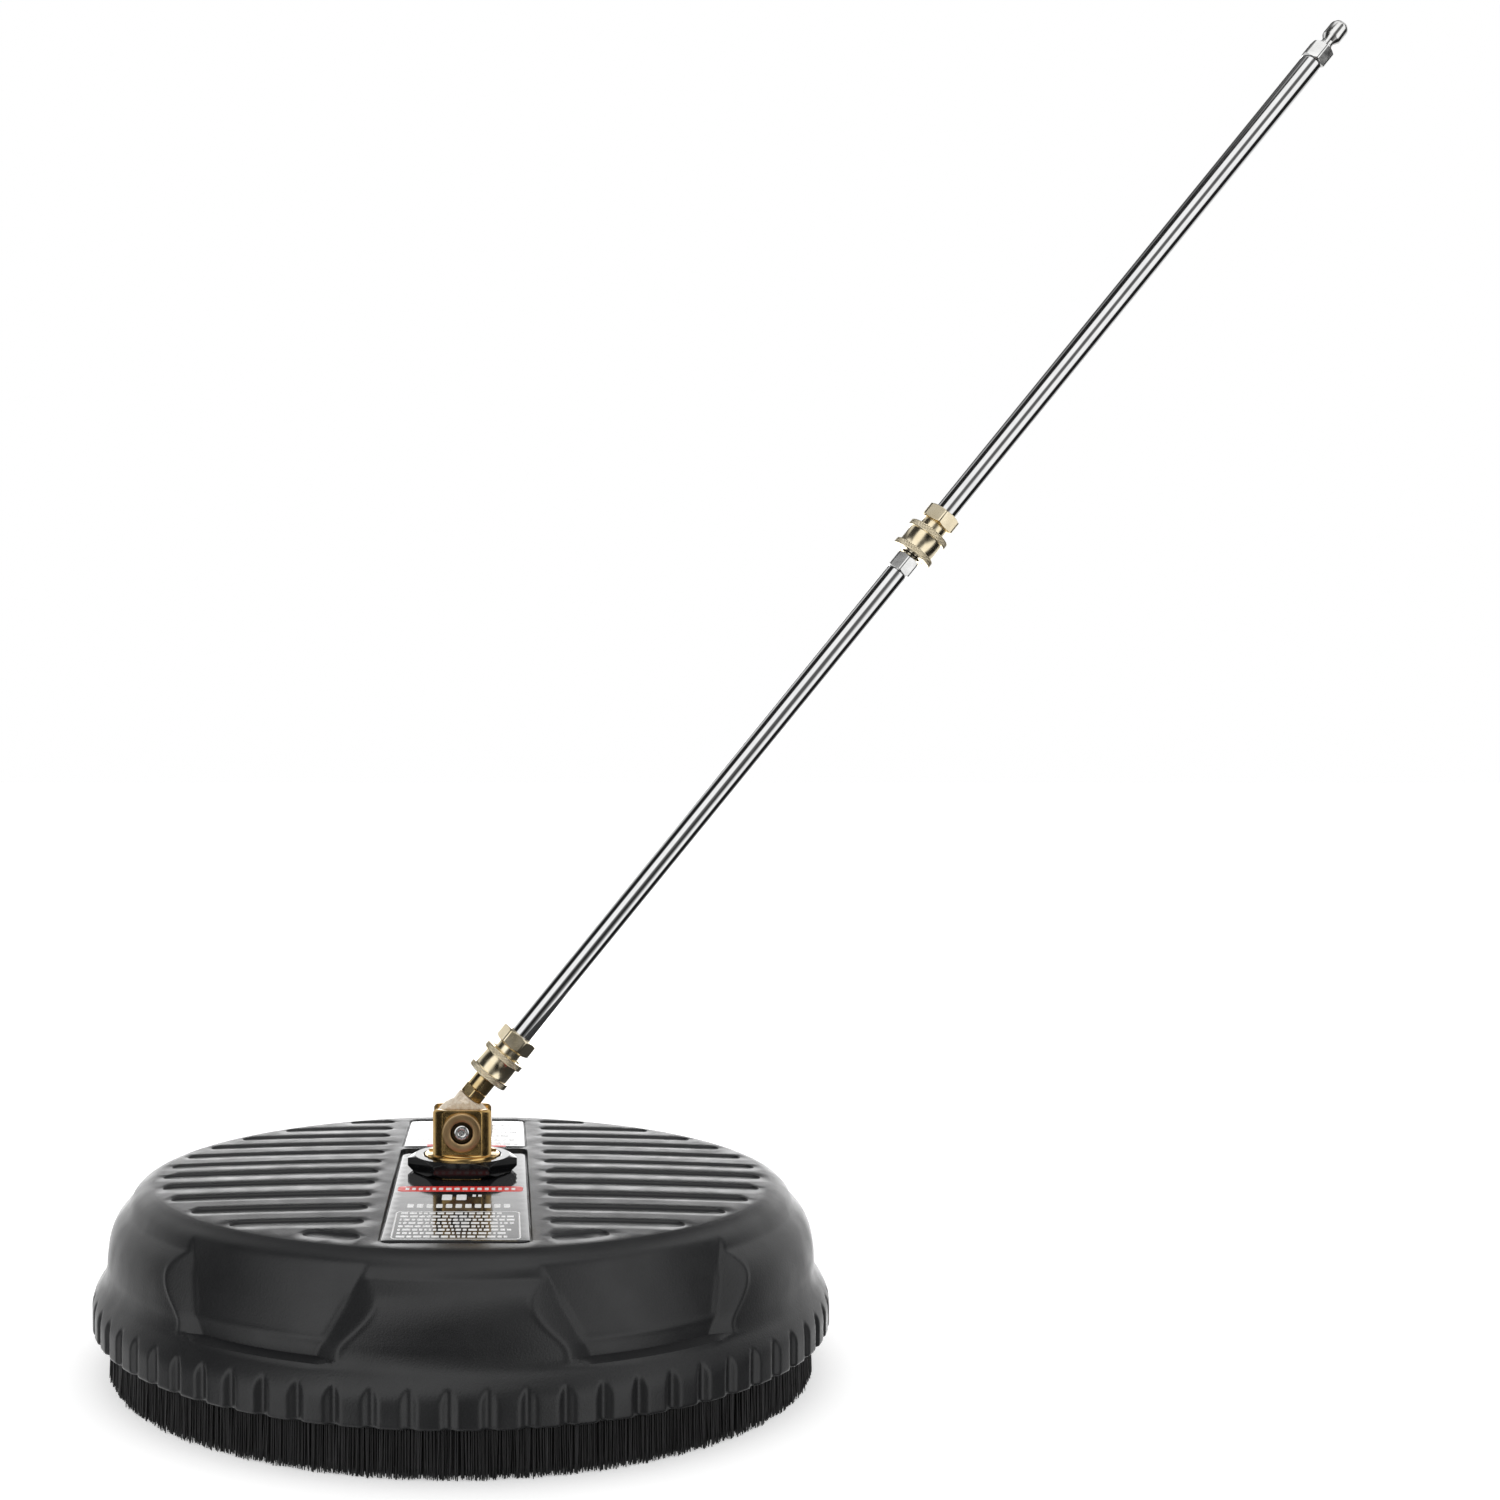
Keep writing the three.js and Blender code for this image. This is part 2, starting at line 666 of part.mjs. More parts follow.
// A ball with flat sides in the yoke's slot, smaller under the pin, with a short neck on its shoulder.
function knuckle() {
  const seat = INLET_HEX - GAP;
  const wide = KNUCKLE_HALF * 2;
  const slot = solid(box(60, wide, 60, 0, 0, PIVOT_Z));
  const ball = solid(new THREE.SphereGeometry(KNUCKLE_BALL, 32, 16).translate(0, 0, PIVOT_Z));
  const ahead = toWand(box(60, 60, 40, 0, 0, 20 - KNUCKLE_CUT));
  const drum = alongY(rod(KNUCKLE_RADIUS, -KNUCKLE_HALF, KNUCKLE_HALF, 36));
  let body = ball.intersect(slot).intersect(ahead).add(drum).add(toWand(rod(NECK, 2, seat, 20)));
  body = body.subtract(toWand(rod(8.3, seat, 40, 16)));
  body = body.subtract(alongY(rod(PIN_RADIUS + GAP, -20, 20)));
  body = body.subtract(toWand(rod(WATERWAY, 0, 12, 10)));
  return geometryOf(body.subtract(toWand(rod(5.3, INLET_HEX - 5.4, 20))));
}

function inletPlug() {
  const nipple = FIRST_RING + NIPPLE_START;
  const collar = FIRST_RING - 2;
  const body = solid(turned([
    [0, INLET_HEX - 5],
    [5, INLET_HEX - 5],
    [5, INLET_HEX + 1],
    [6.35, INLET_HEX + 1],
    [6.35, collar - 0.5],
    [6, collar],
    [4.2, collar],
    ...nippleProfile(nipple).slice(2),
    [0, nipple + NIPPLE_LENGTH],
  ]));
  const hex = hexNut(PLUG_FLATS, INLET_HEX, INLET_HEX + 6, 0.8);
  return geometryOf(body.add(hex).subtract(solid(rod(WATERWAY, 0, 80, 10))));
}

// Pieces of a coupling are made with the middle of the lower knurled ring at zero.
function socketBody() {
  const turnedBody = solid(turned([
    [0, -1.5],
    [NECK_RADIUS, -1.5],
    [NECK_RADIUS, 13.2],
    [8.6, 13.2],
    [8.6, 14.2],
    [NECK_RADIUS, 14.2],
    [NECK_RADIUS, 21],
    [0, 21],
  ]));
  let body = turnedBody.add(hexNut(SOCKET_FLATS, 19.5, SOCKET_END, 1.1));
  body = body.subtract(solid(rod(5.65, -5, 14.6)));
  body = body.subtract(solid(rod(WATERWAY, 0, 40, 10)));
  body = body.subtract(solid(rod(TUBE_RADIUS + GAP, 21.5, 40)));
  for (let i = 0; i < BALL_COUNT; i += 1) {
    const hole = rod(1.7, 3, 12, 8).rotateY(Math.PI / 2).translate(0, 0, BALL_HEIGHT);
    body = body.subtract(solid(hole.rotateZ(ballAngle(i))));
  }
  return geometryOf(body);
}

function ballAngle(index) {
  return index * 2 * Math.PI / BALL_COUNT;
}

function lockingBall(index) {
  const ball = new THREE.SphereGeometry(1.4, 8, 5).translate(BALL_CIRCLE, 0, BALL_HEIGHT);
  return ball.rotateZ(ballAngle(index));
}

function socketSeal() {
  return ring(3.4, 5.3, 13.55, 14.3, 20);
}

function sleeve() {
  const half = RING_THICK / 2;
  const top = RING_SPACING + half;
  return turned([
    [NECK_RADIUS + 0.35, -half],
    [RING_RADIUS, -half],
    [RING_RADIUS, half],
    [SLEEVE_RADIUS, half],
    [SLEEVE_RADIUS, RING_SPACING - half],
    [RING_RADIUS, RING_SPACING - half],
    [RING_RADIUS, top],
    [9, top],
    [9, 5.5],
    [NECK_RADIUS + 0.35, 5.5],
    [NECK_RADIUS + 0.35, -half],
  ], 20);
}

class Helix extends THREE.Curve {
  constructor(radius, bottom, top, turns) {
    super();
    Object.assign(this, { radius, bottom, top, turns });
  }

  getPoint(t) {
    const angle = t * this.turns * 2 * Math.PI;
    const height = this.bottom + (this.top - this.bottom) * t;
    return new THREE.Vector3(this.radius * Math.cos(angle), this.radius * Math.sin(angle), height);
  }
}

function sleeveSpring() {
  const section = new THREE.Shape();
  for (let i = 0; i < 6; i += 1) {
    const angle = i * Math.PI / 3;
    const place = [SPRING_WIRE * Math.cos(angle), SPRING_WIRE * Math.sin(angle)];
    if (i === 0) section.moveTo(...place);
    else section.lineTo(...place);
  }
  section.closePath();
  const path = new Helix(SPRING_RADIUS, 6.4, 12.4, SPRING_TURNS);
  const options = { steps: SPRING_TURNS * 10, extrudePath: path, bevelEnabled: false };
  return new THREE.ExtrudeGeometry(section, options);
}

function wandTube(length) {
  const end = length + NIPPLE_START - PLUG_HEX_LENGTH;
  return ring(TUBE_BORE, TUBE_RADIUS, 21.8, end - GAP);
}

function wandPlug(length) {
  const nipple = length + NIPPLE_START;
  const hexStart = nipple - PLUG_HEX_LENGTH;
  const body = solid(turned([
    [0, hexStart - 12],
    [TUBE_BORE - GAP, hexStart - 12],
    [TUBE_BORE - GAP, hexStart + 1],
    [5, nipple - 0.5],
    ...nippleProfile(nipple),
    [0, nipple + NIPPLE_LENGTH],
  ]));
  const hex = hexNut(PLUG_FLATS, hexStart, nipple, 0.8);
  return geometryOf(body.add(hex).subtract(solid(rod(WATERWAY, 0, length * 2, 10))));
}

// ---------------------------------------------------------------- assembly

function add(group, name, kind, geometry) {
  const mesh = new THREE.Mesh(geometry, material(kind));
  mesh.name = name;
  group.add(mesh);
}

function addDeck(group) {
  add(group, "deck_shell", "black_plastic", deckShell());
  add(group, "front_label", "label", frontLabel());
  add(group, "rear_label", "label", rearLabel());
  add(group, "brush_holder", "black_plastic", brushHolder());
  add(group, "brush_skirt", "nylon", brushSkirt());
  for (let i = 0; i < SCREW_COUNT; i += 1) {
    add(group, `brush_screw_${i + 1}`, "steel", brushScrew(i));
  }
}

function addSwivel(group) {
  add(group, "clamp_nut", "black_plastic", clampNut());
  add(group, "housing_gasket", "rubber", housingGasket());
  add(group, "swivel_housing", "brass", swivelHousing());
  add(group, "pivot_yoke", "brass", pivotYoke());
  add(group, "pivot_pin", "brass", pivotPin());
  add(group, "pivot_screw", "stainless", pivotScrew());
  add(group, "pin_seal_front", "rubber", pinSeal(-3.4));
  add(group, "pin_seal_rear", "rubber", pinSeal(5.4));
  add(group, "pin_circlip", "steel", pinCirclip());
  add(group, "upper_bearing", "steel", bearing(75));
  add(group, "lower_bearing", "steel", bearing(67));
  add(group, "shaft_seal", "rubber", ring(4.9, 9, 83.3, 87.7));
  add(group, "bearing_circlip", "steel", ring(14, 17, 64.5, 65.3, 24));
}

function addSprayBar(group) {
  add(group, "spindle", "stainless", spindle());
  add(group, "rotor_hub", "brass", rotorHub());
  add(group, "hub_screw", "steel", hubScrew());
  for (const side of ["right", "left"]) {
    const arm = new THREE.Group();
    arm.rotation.z = side === "right" ? 0 : Math.PI;
    add(arm, `spray_arm_${side}`, "stainless", sprayArm());
    add(arm, `arm_nut_${side}`, "brass", armNut());
    add(arm, `nozzle_body_${side}`, "brass", nozzleBody());
    add(arm, `spray_nozzle_${side}`, "stainless", sprayNozzle());
    group.add(arm);
  }
}

function addWand(group, level, start, length) {
  const wand = new THREE.Group();
  wand.position.z = start;
  add(wand, `${level}_socket`, "pale_brass", socketBody());
  add(wand, `${level}_sleeve`, "pale_brass", sleeve());
  add(wand, `${level}_sleeve_spring`, "steel", sleeveSpring());
  add(wand, `${level}_socket_seal`, "rubber", socketSeal());
  for (let i = 0; i < BALL_COUNT; i += 1) {
    add(wand, `${level}_ball_${i + 1}`, "steel", lockingBall(i));
  }
  add(wand, `${level}_tube`, "stainless", wandTube(length));
  add(wand, `${level}_plug`, "stainless", wandPlug(length));
  group.add(wand);
}

// The box's middle in X, so that the part's origin can stand at the middle of its footprint.
function boxMiddle() {
  const tip = FIRST_RING + LOWER_LENGTH + UPPER_LENGTH + NIPPLE_START + NIPPLE_LENGTH;
  const farEdge = wandFoot.x + tip * Math.sin(WAND_LEAN) + 4 * Math.cos(WAND_LEAN);
  return (farEdge - RIM_RADIUS) / 2;
}

const cleaner = new THREE.Group();
const machine = new THREE.Group();
machine.position.x = -boxMiddle();
cleaner.add(machine);
addDeck(machine);
addSwivel(machine);
addSprayBar(machine);
add(machine, "knuckle", "brass", knuckle());

const stem = new THREE.Group();
stem.position.copy(wandFoot);
stem.rotation.y = WAND_LEAN;
machine.add(stem);
add(stem, "inlet_plug", "brass", inletPlug());
addWand(stem, "lower", FIRST_RING, LOWER_LENGTH);
addWand(stem, "upper", FIRST_RING + LOWER_LENGTH, UPPER_LENGTH);

export default cleaner;
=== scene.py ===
import json
import math
import random

import bmesh
import bpy
import numpy as np
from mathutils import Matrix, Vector
from mathutils.geometry import delaunay_2d_cdt


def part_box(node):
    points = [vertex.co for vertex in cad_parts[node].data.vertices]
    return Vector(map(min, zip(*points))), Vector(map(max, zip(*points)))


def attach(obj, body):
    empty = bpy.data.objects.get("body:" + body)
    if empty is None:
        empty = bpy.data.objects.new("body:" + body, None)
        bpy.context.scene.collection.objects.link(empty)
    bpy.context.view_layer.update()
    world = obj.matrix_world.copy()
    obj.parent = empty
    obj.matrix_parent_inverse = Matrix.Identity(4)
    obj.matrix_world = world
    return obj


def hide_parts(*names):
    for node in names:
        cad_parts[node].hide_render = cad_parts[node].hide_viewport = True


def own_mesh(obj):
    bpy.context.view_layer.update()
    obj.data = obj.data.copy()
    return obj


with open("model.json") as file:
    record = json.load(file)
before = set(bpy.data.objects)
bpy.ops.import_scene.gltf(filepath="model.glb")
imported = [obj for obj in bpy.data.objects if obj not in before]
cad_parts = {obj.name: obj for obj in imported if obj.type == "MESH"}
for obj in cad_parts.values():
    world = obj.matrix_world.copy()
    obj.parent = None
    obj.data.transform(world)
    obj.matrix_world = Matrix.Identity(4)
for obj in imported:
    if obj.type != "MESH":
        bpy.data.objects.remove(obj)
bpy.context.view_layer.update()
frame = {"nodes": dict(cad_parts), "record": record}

# ---- places and sizes
# Points are written in millimetres about the deck's axis and turned into the row frame by make().

MM = 0.001
nut_low, nut_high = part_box("clamp_nut")
DECK_X = (nut_low.x + nut_high.x) / 2
TAU = 2 * math.pi

DECK_TOP = 102.6
CROWN = 1.33e-4
PLATEAU_EDGE = 168.0
RIM_RADIUS = 199.8
SHELL = 3.6
DECK_HOLE = 21.3
FLUTES = 70
FLUTE_HALF = 5.2
FLUTE_DEPTH = 2.3
DECK_COLUMNS = 1120
HOLE_COLUMNS = 112

GROOVE_ROWS = 12
GROOVE_PITCH = 26.5
GROOVE_HALF = 5.5
GROOVE_DEPTH = 0.8
GROOVE_INNER = 45.5
GROOVE_CIRCLE = 163.2

STRIP_HALF = 36.3
STRIP_FRONT = -157.0
STRIP_STEP = 50.0
STRIP_REAR = 152.0
FRONT_FILM = 100.3          # height of the front film's face at the deck's middle
FRONT_SLOPE = 0.0075        # its rise towards the rear
REAR_POCKET = 0.9
POCKET_CORNER = 6.0
WHITE_LIFT = 0.06           # the white print lies over the red

PANEL_ANGLES = (-29.6, 29.6, 150.4, -150.4)
PANEL_BOTTOM = 51.5
PANEL_DEEP = 188.4          # radius of the leaning face's lower edge and of the band under it
PANEL_LEAN = 0.325          # how far the face leans in, per millimetre of height
PANEL_SHELF = 52.6          # height of the shelf's inner edge
SHELF_SLOPE = 4.0           # how far the shelf runs out, per millimetre that it falls
PANEL_FADE = 84.0           # the raised edges have died out at this height
PANEL_FADE_RANGE = 8.0
PANEL_SILL = 60.4           # lower edge of the leaning face
PANEL_HALF = 11.2           # half its width there, in degrees
PANEL_SPREAD = 0.158        # how fast it widens upwards, in degrees per millimetre

NUT_FLATS = 52.7
YOKE_RADIUS = 18
YOKE_TOP = 135.4
YOKE_FLAT = 14.5            # distance of the yoke's two flats from its middle
YOKE_FLAT_FOOT = 111.2
YOKE_SLOT_HALF = 8.3
YOKE_SLOT_FLOOR = 109.6
PIN_HOLE = 6.8
KNUCKLE_BALL = 16.8
KNUCKLE_DRUM = 13.9
KNUCKLE_HALF = 8
KNUCKLE_CUT = 4.5           # the ball is cut off this far behind the pivot
PIVOT_Z = 123.9
LEAN = math.radians(39.1)
WAND_OFFSET = 7.009
INLET_HEX = 15.84
FIRST_RING = 32.04
LOWER_LENGTH = 371.3
UPPER_LENGTH = 362.7
SOCKET_FLATS = 19
PLUG_FLATS = 13
TUBE_RADIUS = 6
TUBE_BORE = 5
SPRING_RADIUS = 8.3
SPRING_WIRE = 0.42
SPRING_TURNS = 3.5
SPRING_SEAT = 12.8          # the spring's fixed end, from the coupling's start
WAND_FOOT = np.array([-WAND_OFFSET * math.cos(LEAN), 0, PIVOT_Z + WAND_OFFSET * math.sin(LEAN)])
WAND_AXES = np.array([
    [math.cos(LEAN), 0, -math.sin(LEAN)],
    [0, 1, 0],
    [math.sin(LEAN), 0, math.cos(LEAN)],
])


# ---- mesh helpers

def make(name, points, faces, material, body, slot=None, replaces=(), sharp=40.0, merge=True):
    """A mesh piece from points in millimetres about the deck's axis; merge=False suits many small solids."""
    places = np.asarray(points, float) * MM
    places[:, 0] += DECK_X
    mesh = bpy.data.meshes.new(name)
    mesh.from_pydata(places.tolist(), [], faces)
    if merge:
        bm = bmesh.new()
        bm.from_mesh(mesh)
        bmesh.ops.remove_doubles(bm, verts=bm.verts, dist=2e-6)
        bmesh.ops.recalc_face_normals(bm, faces=bm.faces)
        bm.to_mesh(mesh)
        bm.free()
    mesh.polygons.foreach_set("use_smooth", [True] * len(mesh.polygons))
    if sharp:
        mesh.set_sharp_from_angle(angle=math.radians(sharp))
    piece = bpy.data.objects.new(name, mesh)
    bpy.context.scene.collection.objects.link(piece)
    mesh.materials.append(material)
    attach(piece, body)
    if replaces:
        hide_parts(*replaces)
    return piece


def joined(parts):
    """Several (points, faces) pairs as one."""
    points, faces, start = [], [], 0
    for some_points, some_faces in parts:
        points.append(np.asarray(some_points, float))
        faces += [tuple(i + start for i in face) for face in some_faces]
        start += len(some_points)
    return np.concatenate(points), faces


def softened(profile, radius=0.4, steps=3, closed=False):
    """The corners of a profile rounded. A point may be (r, z) or (r, z, across flats)."""
    points = [tuple(p) + (0.0,) * (3 - len(p)) for p in profile]
    count = len(points)
    out = []
    for i, p in enumerate(points):
        if not closed and i in (0, count - 1):
            out.append(p)
            continue
        a, b = points[i - 1], points[(i + 1) % count]
        here, before, after = (np.array(q[:2], float) for q in (p, a, b))
        to_a, to_b = before - here, after - here
        length_a, length_b = np.linalg.norm(to_a), np.linalg.norm(to_b)
        trim = min(radius, 0.45 * length_a, 0.45 * length_b)
        if trim < 1e-4:
            out.append(p)
            continue
        start, end = here + to_a / length_a * trim, here + to_b / length_b * trim
        for k in range(steps + 1):
            t = k / steps
            q = (1 - t) ** 2 * start + 2 * t * (1 - t) * here + t * t * end
            out.append((q[0], q[1], p[2]))
    return out


def resampled(profile, spacing):
    """A profile with no stretch between rows longer than spacing."""
    out = [profile[0]]
    for a, b in zip(profile, profile[1:]):
        length = math.hypot(b[0] - a[0], b[1] - a[1])
        steps = max(1, math.ceil(length / spacing))
        for k in range(1, steps + 1):
            t = k / steps
            out.append(tuple(a[j] + (b[j] - a[j]) * t for j in range(2)) + (b[2] if len(b) > 2 else 0.0,))
    return out


def hexagon_radius(across_flats, angles, corner_round=0.25):
    folded = (angles + 1e-9) % (TAU / 6) - TAU / 12
    edge = across_flats / 2 / np.cos(folded)
    return np.minimum(edge, across_flats / math.sqrt(3) - corner_round)


def turned(profile, count=96, closed=False, shape=None, turn=0.0):
    """A surface of revolution about Z; shape(angles, radii, height) may change the radii."""
    angles = np.arange(count) * TAU / count
    points, rows = [], []
    for entry in profile:
        r, z = entry[0], entry[1]
        flats = entry[2] if len(entry) > 2 else 0.0
        if r < 1e-6:
            rows.append([len(points)])
            points.append((0.0, 0.0, z))
            continue
        radii = np.full(count, float(r))
        if flats:
            radii = np.minimum(radii, hexagon_radius(flats, angles))
        if shape is not None:
            radii = shape(angles, radii, z)
        rows.append(list(range(len(points), len(points) + count)))
        points += list(zip(radii * np.cos(angles + turn), radii * np.sin(angles + turn), [z] * count))
    pairs = list(zip(rows, rows[1:])) + ([(rows[-1], rows[0])] if closed else [])
    faces = []
    for low, high in pairs:
        for i in range(count):
            j = (i + 1) % count
            if len(low) == 1 and len(high) == 1:
                continue
            if len(low) == 1:
                faces.append((low[0], high[j], high[i]))
            elif len(high) == 1:
                faces.append((low[i], low[j], high[0]))
            else:
                faces.append((low[i], low[j], high[j], high[i]))
    return np.array(points, float), faces


def on_wand(points, start=0.0):
    """Points about the wand's axis put in place; start is the distance along it."""
    moved = np.array(points, float)
    moved[:, 2] += start
    return moved @ WAND_AXES + WAND_FOOT


def along_y(points):
    """Points about Z laid along Y through the pivot; their tops face the rear."""
    p = np.array(points, float)
    return np.stack([p[:, 0], p[:, 2], PIVOT_Z - p[:, 1]], 1)


def boxed(x0, y0, z0, x1, y1, z1):
    points = [(x, y, z) for x in (x0, x1) for y in (y0, y1) for z in (z0, z1)]
    faces = [(0, 1, 3, 2), (4, 6, 7, 5), (0, 4, 5, 1), (2, 3, 7, 6), (0, 2, 6, 4), (1, 5, 7, 3)]
    return np.array(points, float), faces


def scratch(points, faces):
    mesh = bpy.data.meshes.new("scratch")
    mesh.from_pydata(np.asarray(points, float).tolist(), [], faces)
    bm = bmesh.new()
    bm.from_mesh(mesh)
    bmesh.ops.remove_doubles(bm, verts=bm.verts, dist=1e-4)
    bmesh.ops.recalc_face_normals(bm, faces=bm.faces)
    bm.to_mesh(mesh)
    bm.free()
    piece = bpy.data.objects.new("scratch", mesh)
    bpy.context.scene.collection.objects.link(piece)
    return piece


def carved(base, steps, bevel=0.0):
    """base with each (operation, shape) applied in turn, and its sharp edges softened."""
    piece = scratch(*base)
    helpers = []
    for operation, shape in steps:
        helper = scratch(*shape)
        helpers.append(helper)
        modifier = piece.modifiers.new("cut", "BOOLEAN")
        modifier.operation = operation
        modifier.solver = "EXACT"
        modifier.object = helper
    if bevel:
        modifier = piece.modifiers.new("edge", "BEVEL")
        modifier.width = bevel
        modifier.segments = 3
        modifier.limit_method = "ANGLE"
        modifier.angle_limit = math.radians(35)
    bpy.context.view_layer.update()
    evaluated = piece.evaluated_get(bpy.context.evaluated_depsgraph_get())
    mesh = evaluated.to_mesh()
    points = np.array([v.co for v in mesh.vertices], float)
    faces = [tuple(p.vertices) for p in mesh.polygons]
    evaluated.to_mesh_clear()
    for one in [piece] + helpers:
        data = one.data
        bpy.data.objects.remove(one)
        bpy.data.meshes.remove(data)
    return points, faces


def smooth_min(a, b, width):
    h = np.maximum(width - np.abs(a - b), 0) / width
    return np.minimum(a, b) - h * h * width / 4


def smooth_max(a, b, width):
    return -smooth_min(-a, -b, width)


def smooth_step(t):
    t = np.clip(t, 0, 1)
    return t * t * (3 - 2 * t)


# ---- materials

class Nodes:
    """A node material whose textures read the piece's own coordinates."""

    def __init__(self, name, tree=None):
        if tree is None:
            self.material = bpy.data.materials.new(name)
            self.material.use_nodes = True
            tree = self.material.node_tree
        self.tree = tree
        self.tree.nodes.clear()

    def add(self, kind, **values):
        node = self.tree.nodes.new(kind)
        for key, value in values.items():
            if isinstance(value, bpy.types.NodeSocket):
                self.tree.links.new(value, node.inputs[key.replace("_", " ").title()])
            elif key.startswith("set_"):
                setattr(node, key[4:], value)
            else:
                node.inputs[key.replace("_", " ").title()].default_value = value
        return node

    def link(self, source, target):
        self.tree.links.new(source, target)

    def place(self, rotation=(0, 0, 0), scale=(1, 1, 1)):
        coordinates = self.add("ShaderNodeTexCoord").outputs["Object"]
        return self.add("ShaderNodeMapping", vector=coordinates, rotation=rotation, scale=scale).outputs[0]

    def noise(self, vector, scale, detail=2.0, roughness=0.5):
        return self.add("ShaderNodeTexNoise", vector=vector, scale=scale, detail=detail,
                        roughness=roughness).outputs[0]

    def ranged(self, value, low, high, from_low=0.3, from_high=0.7):
        node = self.add("ShaderNodeMapRange", value=value)
        node.inputs[1].default_value = from_low
        node.inputs[2].default_value = from_high
        node.inputs[3].default_value = low
        node.inputs[4].default_value = high
        return node.outputs[0]

    def mixed(self, factor, first, second):
        node = self.tree.nodes.new("ShaderNodeMix")
        node.data_type = "RGBA"
        self.link(factor, node.inputs[0])
        for socket, value in ((node.inputs[6], first), (node.inputs[7], second)):
            if isinstance(value, bpy.types.NodeSocket):
                self.link(value, socket)
            else:
                socket.default_value = (*value, 1.0)
        return node.outputs[2]

    def bump(self, height, distance, strength=1.0, normal=None):
        node = self.add("ShaderNodeBump", height=height, distance=distance, strength=strength)
        if normal is not None:
            self.link(normal, node.inputs["Normal"])
        return node.outputs[0]

    def finish(self, colour, roughness, normal=None, **values):
        shader = self.tree.nodes.new("ShaderNodeBsdfPrincipled")
        for name, value in (("Base Color", colour), ("Roughness", roughness), ("Normal", normal)):
            if value is None:
                continue
            if isinstance(value, bpy.types.NodeSocket):
                self.link(value, shader.inputs[name])
            else:
                shader.inputs[name].default_value = value
        for name, value in values.items():
            shader.inputs[name.replace("_", " ")].default_value = value
        output = self.tree.nodes.new("ShaderNodeOutputMaterial")
        self.link(shader.outputs[0], output.inputs[0])
        return self.material


def moulded_plastic(name, dark, light, rough_low, rough_high, grain=0.00005):
    m = Nodes(name)
    place = m.place()
    tint = m.mixed(m.ranged(m.noise(place, 14, 4), 0, 1), dark, light)
    roughness = m.ranged(m.noise(place, 60, 3), rough_low, rough_high)
    fine = m.noise(place, 1000, 2, 0.6)
    normal = m.bump(fine, grain, 1.0)
    return m.finish(tint, roughness, normal)


def bristle_nylon():
    m = Nodes("bristle_nylon")
    strand = m.noise(m.place(scale=(1, 1, 0.02)), 900, 1)
    tint = m.mixed(m.ranged(strand, 0, 1), (0.004, 0.004, 0.004), (0.02, 0.02, 0.021))
    return m.finish(tint, m.ranged(strand, 0.35, 0.6))


def label_film():
    m = Nodes("label_film")
    place = m.place()
    tint = m.mixed(m.ranged(m.noise(place, 30, 3), 0, 1), (0.008, 0.008, 0.009), (0.014, 0.014, 0.015))
    roughness = m.ranged(m.noise(place, 120, 4), 0.05, 0.12)
    normal = m.bump(m.noise(place, 55, 1), 0.00004, 0.5)
    return m.finish(tint, roughness, normal)


def print_ink(name, dark, light):
    m = Nodes(name)
    place = m.place()
    tint = m.mixed(m.ranged(m.noise(place, 500, 3), 0, 1), dark, light)
    return m.finish(tint, m.ranged(m.noise(place, 200, 2), 0.3, 0.45))


def turned_metal(name, dark, light, rough_low, rough_high, scale, rotation=(0, 0, 0), ring=0.0000012):
    """Bright metal with fine tool marks that run across the axis given by scale and rotation."""
    m = Nodes(name)
    place = m.place()
    tint = m.mixed(m.ranged(m.noise(place, 90, 4), 0, 1), dark, light)
    marks = m.noise(m.place(rotation=rotation, scale=scale), 1, 3, 0.7)
    roughness = m.ranged(m.noise(place, 260, 3), rough_low, rough_high)
    normal = m.bump(marks, ring, 1.0)
    return m.finish(tint, roughness, normal, Metallic=1.0)


def cast_metal(name, dark, light):
    """A dull, finely pitted casting."""
    m = Nodes(name)
    place = m.place()
    tint = m.mixed(m.ranged(m.noise(place, 700, 3), 0, 1), dark, light)
    normal = m.bump(m.noise(place, 1100, 2), 0.00003, 1.0)
    return m.finish(tint, m.ranged(m.noise(place, 300, 2), 0.4, 0.6), normal, Metallic=0.25)


def rubber_ring():
    m = Nodes("seal_rubber")
    place = m.place()
    tint = m.mixed(m.ranged(m.noise(place, 400, 3), 0, 1), (0.008, 0.008, 0.008), (0.02, 0.02, 0.02))
    roughness = m.ranged(m.noise(place, 300, 2), 0.5, 0.7)
    return m.finish(tint, roughness, m.bump(m.noise(place, 2500, 2), 0.00002))


ACROSS_Z = (40, 40, 2600)
ACROSS_WAND = (0, -LEAN, 0)
DECK_PLASTIC = moulded_plastic("deck_plastic", (0.0085, 0.0088, 0.0095), (0.0135, 0.014, 0.015),
                               0.32, 0.42, 0.00009)
NUT_PLASTIC = moulded_plastic("nut_plastic", (0.003, 0.003, 0.0032), (0.005, 0.005, 0.0055), 0.08, 0.15,
                              0.000004)
BRISTLE = bristle_nylon()
FILM = label_film()
WHITE_INK = print_ink("white_ink", (0.72, 0.72, 0.72), (0.86, 0.86, 0.86))
RED_INK = print_ink("red_ink", (0.62, 0.02, 0.02), (0.8, 0.05, 0.04))
BRASS = turned_metal("brass", (0.6, 0.39, 0.14), (0.7, 0.48, 0.2), 0.15, 0.24, ACROSS_Z)
# Painted shade: near-black brass that stands in for the shadow inside the pin head's recess.
RECESS_SHADE_BRASS = turned_metal("recess_shade_brass", (0.03, 0.022, 0.012), (0.09, 0.06, 0.03), 0.3, 0.5, ACROSS_Z)
BRASS_FACE = turned_metal("brass_face", (0.5, 0.34, 0.17), (0.6, 0.42, 0.22), 0.3, 0.42, ACROSS_Z)
KNUCKLE_BRASS = cast_metal("knuckle_brass", (0.62, 0.5, 0.36), (0.86, 0.78, 0.66))
BRASS_WAND = turned_metal("brass_wand", (0.6, 0.43, 0.2), (0.74, 0.58, 0.32), 0.14, 0.26, ACROSS_Z,
                          ACROSS_WAND)
